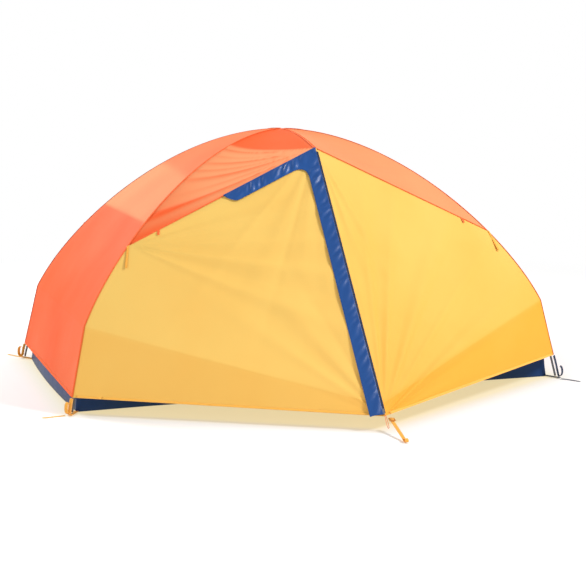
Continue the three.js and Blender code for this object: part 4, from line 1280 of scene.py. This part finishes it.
def make_hems():
    """Rolled hems along the fly's lower edges. A door's hem is cut where its hinge meets it."""
    rise = 0.005 * UP
    for label, x_sign, hem in ENDS:
        corner = at_corner(leg_at(hem), 1, 1)
        y = np.linspace(-corner[1] + 0.004, corner[1] - 0.004, 60)
        path = np.stack([np.full_like(y, x_sign * corner[0]), y, np.full_like(y, hem)], -1) + rise
        tape(f"end_hem_{label}", path, np.array([x_sign, 0, 0.25]), 0.010, BINDING, "orange")
    for label, spin, door_hem, fixed_hem in SIDES:
        left, right = at_corner(leg_at(door_hem), -1, -1), at_corner(leg_at(fixed_hem), 1, -1)
        door = mix(left, ZIP_FOOT, np.linspace(0.012, 0.97, 90)[:, None])
        fixed = mix(ZIP_FOOT, right, np.linspace(0.03, 0.99, 90)[:, None])
        hinge = int(90 * HINGE_CREASE * 0.6)
        for name, path, out, body in (
            (f"door_hem_fixed_{label}", door[: hinge + 1], PANEL_OUT, "tent"),
            (f"door_hem_{label}", door[hinge:], PANEL_OUT, f"door_{label}"),
            (f"fixed_hem_{label}", fixed, RIGHT_OUT, "tent"),
        ):
            tape(name, (path + rise) * spun(spin), out * spun(spin), 0.010, HEM, "yellow", body)


def make_zips():
    """Each zip: a tape and a row of coil teeth on the door's edge and on the fixed panel's. The coil is
    a helix: the cosine and sine of ZIP_TURNS turns along the edge."""
    shares = np.linspace(0, 1, 1400)[:, None]
    edge = mix(ZIP_FOOT, PEAK, np.linspace(0.012, 0.985, 100)[:, None])
    fine = mix(ZIP_FOOT, PEAK, mix(0.012, 0.985, shares))
    wound = TURN * ZIP_TURNS * shares
    for label, spin, *_ in SIDES:
        turn = spun(spin)
        for half, sign, out in (("door", -1, PANEL_OUT), ("fixed", 1, RIGHT_OUT)):
            body = f"door_{label}" if half == "door" else "tent"
            across = unit(np.cross(out, ZIP_UP))
            across = across * np.sign(across[0]) * sign
            path = (edge + across * 0.0062 + out * 0.0004) * turn
            tape(f"zip_tape_{half}_{label}", path, out * turn, 0.009, ZIP_TAPE, "hub", body)
            beside, above = 0.0014 + 0.0006 * np.sin(wound), 0.0014 + 0.0004 * np.cos(wound)
            coil = (fine + across * beside + out * above) * turn
            teeth = sweep(f"zip_coil_{half}_{label}", coil, across * turn, circle(0.0005, 5))
            dress(teeth, DARK_PLASTIC, body, "hub")


make_ridge_tapes()
make_roof_seams()
make_hems()
make_zips()

# ---- Inner tent ----

CANOPY_RIM = TUB[2] + 0.001
DOOR_HALF = 0.42
DOOR_SILL = 0.185
DOOR_SHOULDER = 0.56
DOOR_HEAD = 0.85
DOOR_GAP = 0.003
DOOR_CENTRE = np.array([0, 0.5])
WALL_COLUMNS = 240


def canopy_lines(t):
    """The canopy's front right corner line and its front middle line, from the tub's rim (0) to the
    crown (1)."""
    drop = POLE_RADIUS + CANOPY_DROP
    _, _, arch = arch_outline(-drop, LOWER_CROWN - drop)
    rim = TUB[:2] / 2 - TUB_LEAN
    bottom = np.array([rim[0], -rim[1], CANOPY_RIM])
    climb = at_corner(bezier(arch, 1 - np.clip((t - 0.1) / 0.9, 0, 1)), 1, -1)
    low = np.clip(t / 0.1, 0, 1)[..., None]
    corner = np.where((t < 0.1)[..., None], mix(bottom, at_corner(arch[3], 1, -1), low), climb)
    peak = np.array([0, PEAK[1] + CANOPY_PEAK_DROP / 2, PEAK[2] - CANOPY_PEAK_DROP])
    top = np.array([0, 0, arch[0][1]])
    rise = mix(np.array([0, -rim[1], CANOPY_RIM]), peak, np.clip(t / 0.6, 0, 1)[..., None])
    over = mix(peak, top, np.clip((t - 0.6) / 0.4, 0, 1)[..., None])
    return corner, np.where((t < 0.6)[..., None], rise, over)


def level_line(x, t):
    """The canopy's level line at t, between its middle and its corner, read at x: (y, z)."""
    corner, middle = canopy_lines(t)
    share = np.clip(np.abs(x) / np.maximum(corner[..., 0], 1e-6), 0, 1)
    return mix(middle[..., 1:], corner[..., 1:], share[..., None])


def front_wall(x, z):
    """The canopy's front as a height field: its y at (x, z), read off the level line that runs through
    the point, which is found by halving."""
    low, high = np.zeros_like(x), np.ones_like(x)
    for _ in range(40):
        t = (low + high) / 2
        over = level_line(x, t)[..., 1] > z
        high = np.where(over, t, high)
        low = np.where(over, low, t)
    return level_line(x, (low + high) / 2)[..., 0]


def door_outline(inset):
    """The inner door's outline (x, z): straight sides and a round head made of two quadratic curves."""
    half, sill, head = DOOR_HALF - inset, DOOR_SILL + inset, DOOR_HEAD - inset
    t = np.linspace(0, 1, 60)[:, None]
    left, corner, top = np.array([[-half, DOOR_SHOULDER], [-half, head], [0, head]])
    bow = left * (1 - t) ** 2 + 2 * corner * t * (1 - t) + top * t**2
    foot = np.array([-half, sill])
    half_line = np.vstack([mix(foot * [0, 1], foot, t), mix(foot, left, t)[1:], bow[1:]])
    return at_angles(np.vstack([half_line, half_line[-2::-1] * [-1, 1]]))


def wall_outline():
    """The front wall's outline (x, z): along the rim, up one corner line to the crown and down."""
    corner, _ = canopy_lines(np.linspace(0, 0.995, 160))
    climb = corner[:, [0, 2]]
    rim = mix(np.array([0, CANOPY_RIM]), climb[0], np.linspace(0, 1, 60)[:, None])
    right = np.vstack([rim, climb[1:]])
    return at_angles(np.vstack([right, right[::-1] * [-1, 1]]))


def at_angles(line):
    """A closed outline's points at even angles round the door's centre, by linear reading."""
    away = line - DOOR_CENTRE
    angle = np.arctan2(away[:, 1], away[:, 0])
    order = np.argsort(angle)
    even = np.linspace(-np.pi, np.pi, WALL_COLUMNS, endpoint=False)
    radius = np.interp(even, angle[order], np.linalg.norm(away, axis=1)[order], period=TURN)
    return DOOR_CENTRE + radius[:, None] * np.stack([np.cos(even), np.sin(even)], -1)


def wall_net(inner, outer):
    """A ring of points between two outlines, laid on the front wall."""
    flat = mix(inner, outer, np.linspace(0, 1, 24)[:, None, None])
    return np.stack([flat[..., 0], front_wall(flat[..., 0], flat[..., 1]), flat[..., 1]], -1)


def inner_sheet(name, net, closed, body, nodes=()):
    """A piece of the inner tent on a net of points, 0.4 mm thick."""
    faces = net_faces(*net.shape[:2], closed)
    made = make_object(name, net.reshape(-1, 3), faces.tolist())
    thicken(made, 0.0004, 0)
    dress(made, MESH, body, "mesh", *nodes)


def make_inner_walls():
    """The canopy's front and back: a wall round the door's opening, the door, and its zip, which leaves
    out the hinge's side."""
    leaf, zip_line = door_outline(DOOR_GAP), door_outline(-0.009)
    wall = wall_net(door_outline(0), wall_outline())
    door = wall_net(mix(DOOR_CENTRE, leaf, 0.02), leaf)
    edge = wall_net(zip_line, zip_line)[0, 26:224]
    for label, spin, *_ in SIDES:
        turn = spun(spin)
        nodes = ["inner_canopy"] if label == "front" else []
        inner_sheet(f"inner_wall_{label}", wall * turn, True, "tent", nodes)
        body = f"inner_door_{label}"
        inner_sheet(f"inner_door_leaf_{label}", door * turn, True, body, [body])
        side = np.array([0, -spin, 0.1])
        tube = sweep(f"inner_door_zip_{label}", edge * turn, side, band(0.012, 0.001, 3))
        dress(tube, ZIP_TAPE, "tent", "hub")


def make_inner_ends():
    """The canopy's ends: level lines between two corner lines."""
    corner, _ = canopy_lines(np.linspace(0, 0.995, 70))
    across = np.linspace(-1, 1, 50)
    x, y, z = (corner[:, None, k] * np.ones(50) for k in range(3))
    for label, sign in (("head", -1), ("foot", 1)):
        net = np.stack([x * sign, y * across * -sign, z], -1)
        inner_sheet(f"inner_end_{label}", net, False, "tent")


def make_tub():
    """The floor: a shallow tray whose walls lean in, with slight ripples. Its outline is a circle's cosine
    and sine times the root of 2, clipped at 1, which is a square; the ends bow outwards a little."""
    angle = np.linspace(0, TURN, 360, endpoint=False)
    cosine, sine = np.cos(angle), np.sin(angle)
    x, y = (np.clip(np.sqrt(2) * part, -1, 1) for part in (cosine, sine))
    bow = 0.016 * (1 - y**2)
    rings = []
    for share in np.linspace(1, 0.03, 9):
        height = TUB[2] * share
        wave = 0.0012 * np.sin(angle * 23 + height * 30) * np.sin(np.pi * share)
        half = TUB[:2, None] / 2 - TUB_LEAN * share - 0.0005 - np.abs(wave)
        out = 1 + bow * (1 - 0.5 * share)
        rings.append(np.stack([x * half[0] * out, y * half[1], np.full_like(angle, height)], -1))
    for share in np.linspace(0.995, 0.02, 30):
        height = 0.0008 + 0.0016 * np.abs(np.sin(9 * share * cosine) * np.cos(7 * share * sine))
        half = TUB[:2] / 2 * share
        rings.append(np.stack([x * half[0] * (1 + bow), y * half[1], height], -1))
    net = np.array(rings)
    made = make_object("floor_tray", net.reshape(-1, 3), net_faces(len(rings), 360, True).tolist())
    outward(made)
    thicken(made, 0.0006, -1)
    dress(made, NAVY, "tent", "floor", "floor_tub")


make_tub()
make_inner_walls()
make_inner_ends()

# ---- Hard fittings ----


def recoat(node, material):
    """Gives a solid from the frame its material."""
    piece = bpy.data.objects[node]
    for part in piece.material_slots:
        part.material = material


def make_fittings():
    """The solids that show as they are: hub, clips, ladder locks and sliders."""
    recoat("crown_hub", DARK_PLASTIC)
    for label, *_ in CORNERS:
        recoat(f"pole_clip_{label}", DARK_PLASTIC)
    for label, *_ in SIDES:
        recoat(f"ladder_lock_{label}", BUCKLE)
        recoat(f"zip_slider_{label}", DARK_PLASTIC)


make_fittings()

# ---- Ground, light and sizes ----

WORLD_LIGHT = 0.55
LAMPS = (
    ("key", (3.4, -3.9, 4.6), 1.3, 320),
    ("back", (-3.2, 3.6, 4.2), 2.0, 260),
    ("fill", (-5.5, -4.0, 2.2), 2.5, 60),
)  # name, place, size, power
LAMP_TARGET = Vector((0, 0, 0.4))
GLOW_REACH = (1.12, 1.25)  # of the glow under the fly: along X, and along Y in the middle


def floor_finish():
    """Pale paper that fades to plain white beyond the tent, with a painted warm glow (emission) on the
    ground under the fly, standing in for the light that the cloth lets through. The ground there ends on two
    straight lines to each vestibule's point and level with the ends."""
    f = Finish("studio floor")
    x, y, _ = f.place("Object")
    outside = (y.size() + x.size() * 0.594 - GLOW_REACH[1]).larger(x.size() - GLOW_REACH[0])
    under = f.node("ShaderNodeMapRange", {}, {0: outside, 1: 0.10, 2: -0.06, 3: 0.0, 4: 1.0})
    far = f.node("ShaderNodeMapRange", {}, {0: x * x + y * y, 1: 4.0, 2: 16.0, 3: 0.0, 4: 1.0})
    paper = f.principled(
        Base_Color=rgba(0.93, 0.925, 0.92), Roughness=0.9, Normal=f.bump(f.noise(30.0), 0.0005, 0.2),
        Specular_IOR_Level=0.1,
    )
    # Painted glow: a warm emission on the ground under the fly, in place of the light that the cloth lets
    # through.
    painted_glow_tint = f.colours(rgba(1, 1, 1), rgba(1.0, 0.85, 0.50), under)
    glow = f.node("ShaderNodeEmission", {}, {"Color": painted_glow_tint, "Strength": 1.0})
    return f.done(f.blended(far + under * 0.72, paper, glow))


def make_world():
    """A white surround: full white to the camera and WORLD_LIGHT strong to everything else."""
    world = bpy.data.worlds.new("studio")
    world.use_nodes = True
    tree = world.node_tree
    back = tree.nodes["Background"]
    back.inputs["Color"].default_value = rgba(1, 1, 1)
    path = tree.nodes.new("ShaderNodeLightPath")
    level = tree.nodes.new("ShaderNodeMapRange")
    level.inputs["To Min"].default_value = WORLD_LIGHT
    tree.links.new(path.outputs["Is Camera Ray"], level.inputs["Value"])
    tree.links.new(level.outputs["Result"], back.inputs["Strength"])
    bpy.context.scene.world = world


def make_stage():
    """The floor, the surround and three soft lamps."""
    corners = [(-60, -60, 0), (60, -60, 0), (60, 60, 0), (-60, 60, 0)]
    floor = make_object("floor", corners, [[0, 1, 2, 3]])
    floor.data.materials.append(floor_finish())
    make_world()
    for name, place, size, power in LAMPS:
        lamp = bpy.data.lights.new(name, "AREA")
        lamp.size = size
        lamp.energy = power
        holder = bpy.data.objects.new(name, lamp)
        holder.location = place
        holder.rotation_euler = (LAMP_TARGET - Vector(place)).to_track_quat("-Z", "Y").to_euler()
        bpy.context.scene.collection.objects.link(holder)
    bpy.context.scene.view_settings.view_transform = "Standard"


make_stage()
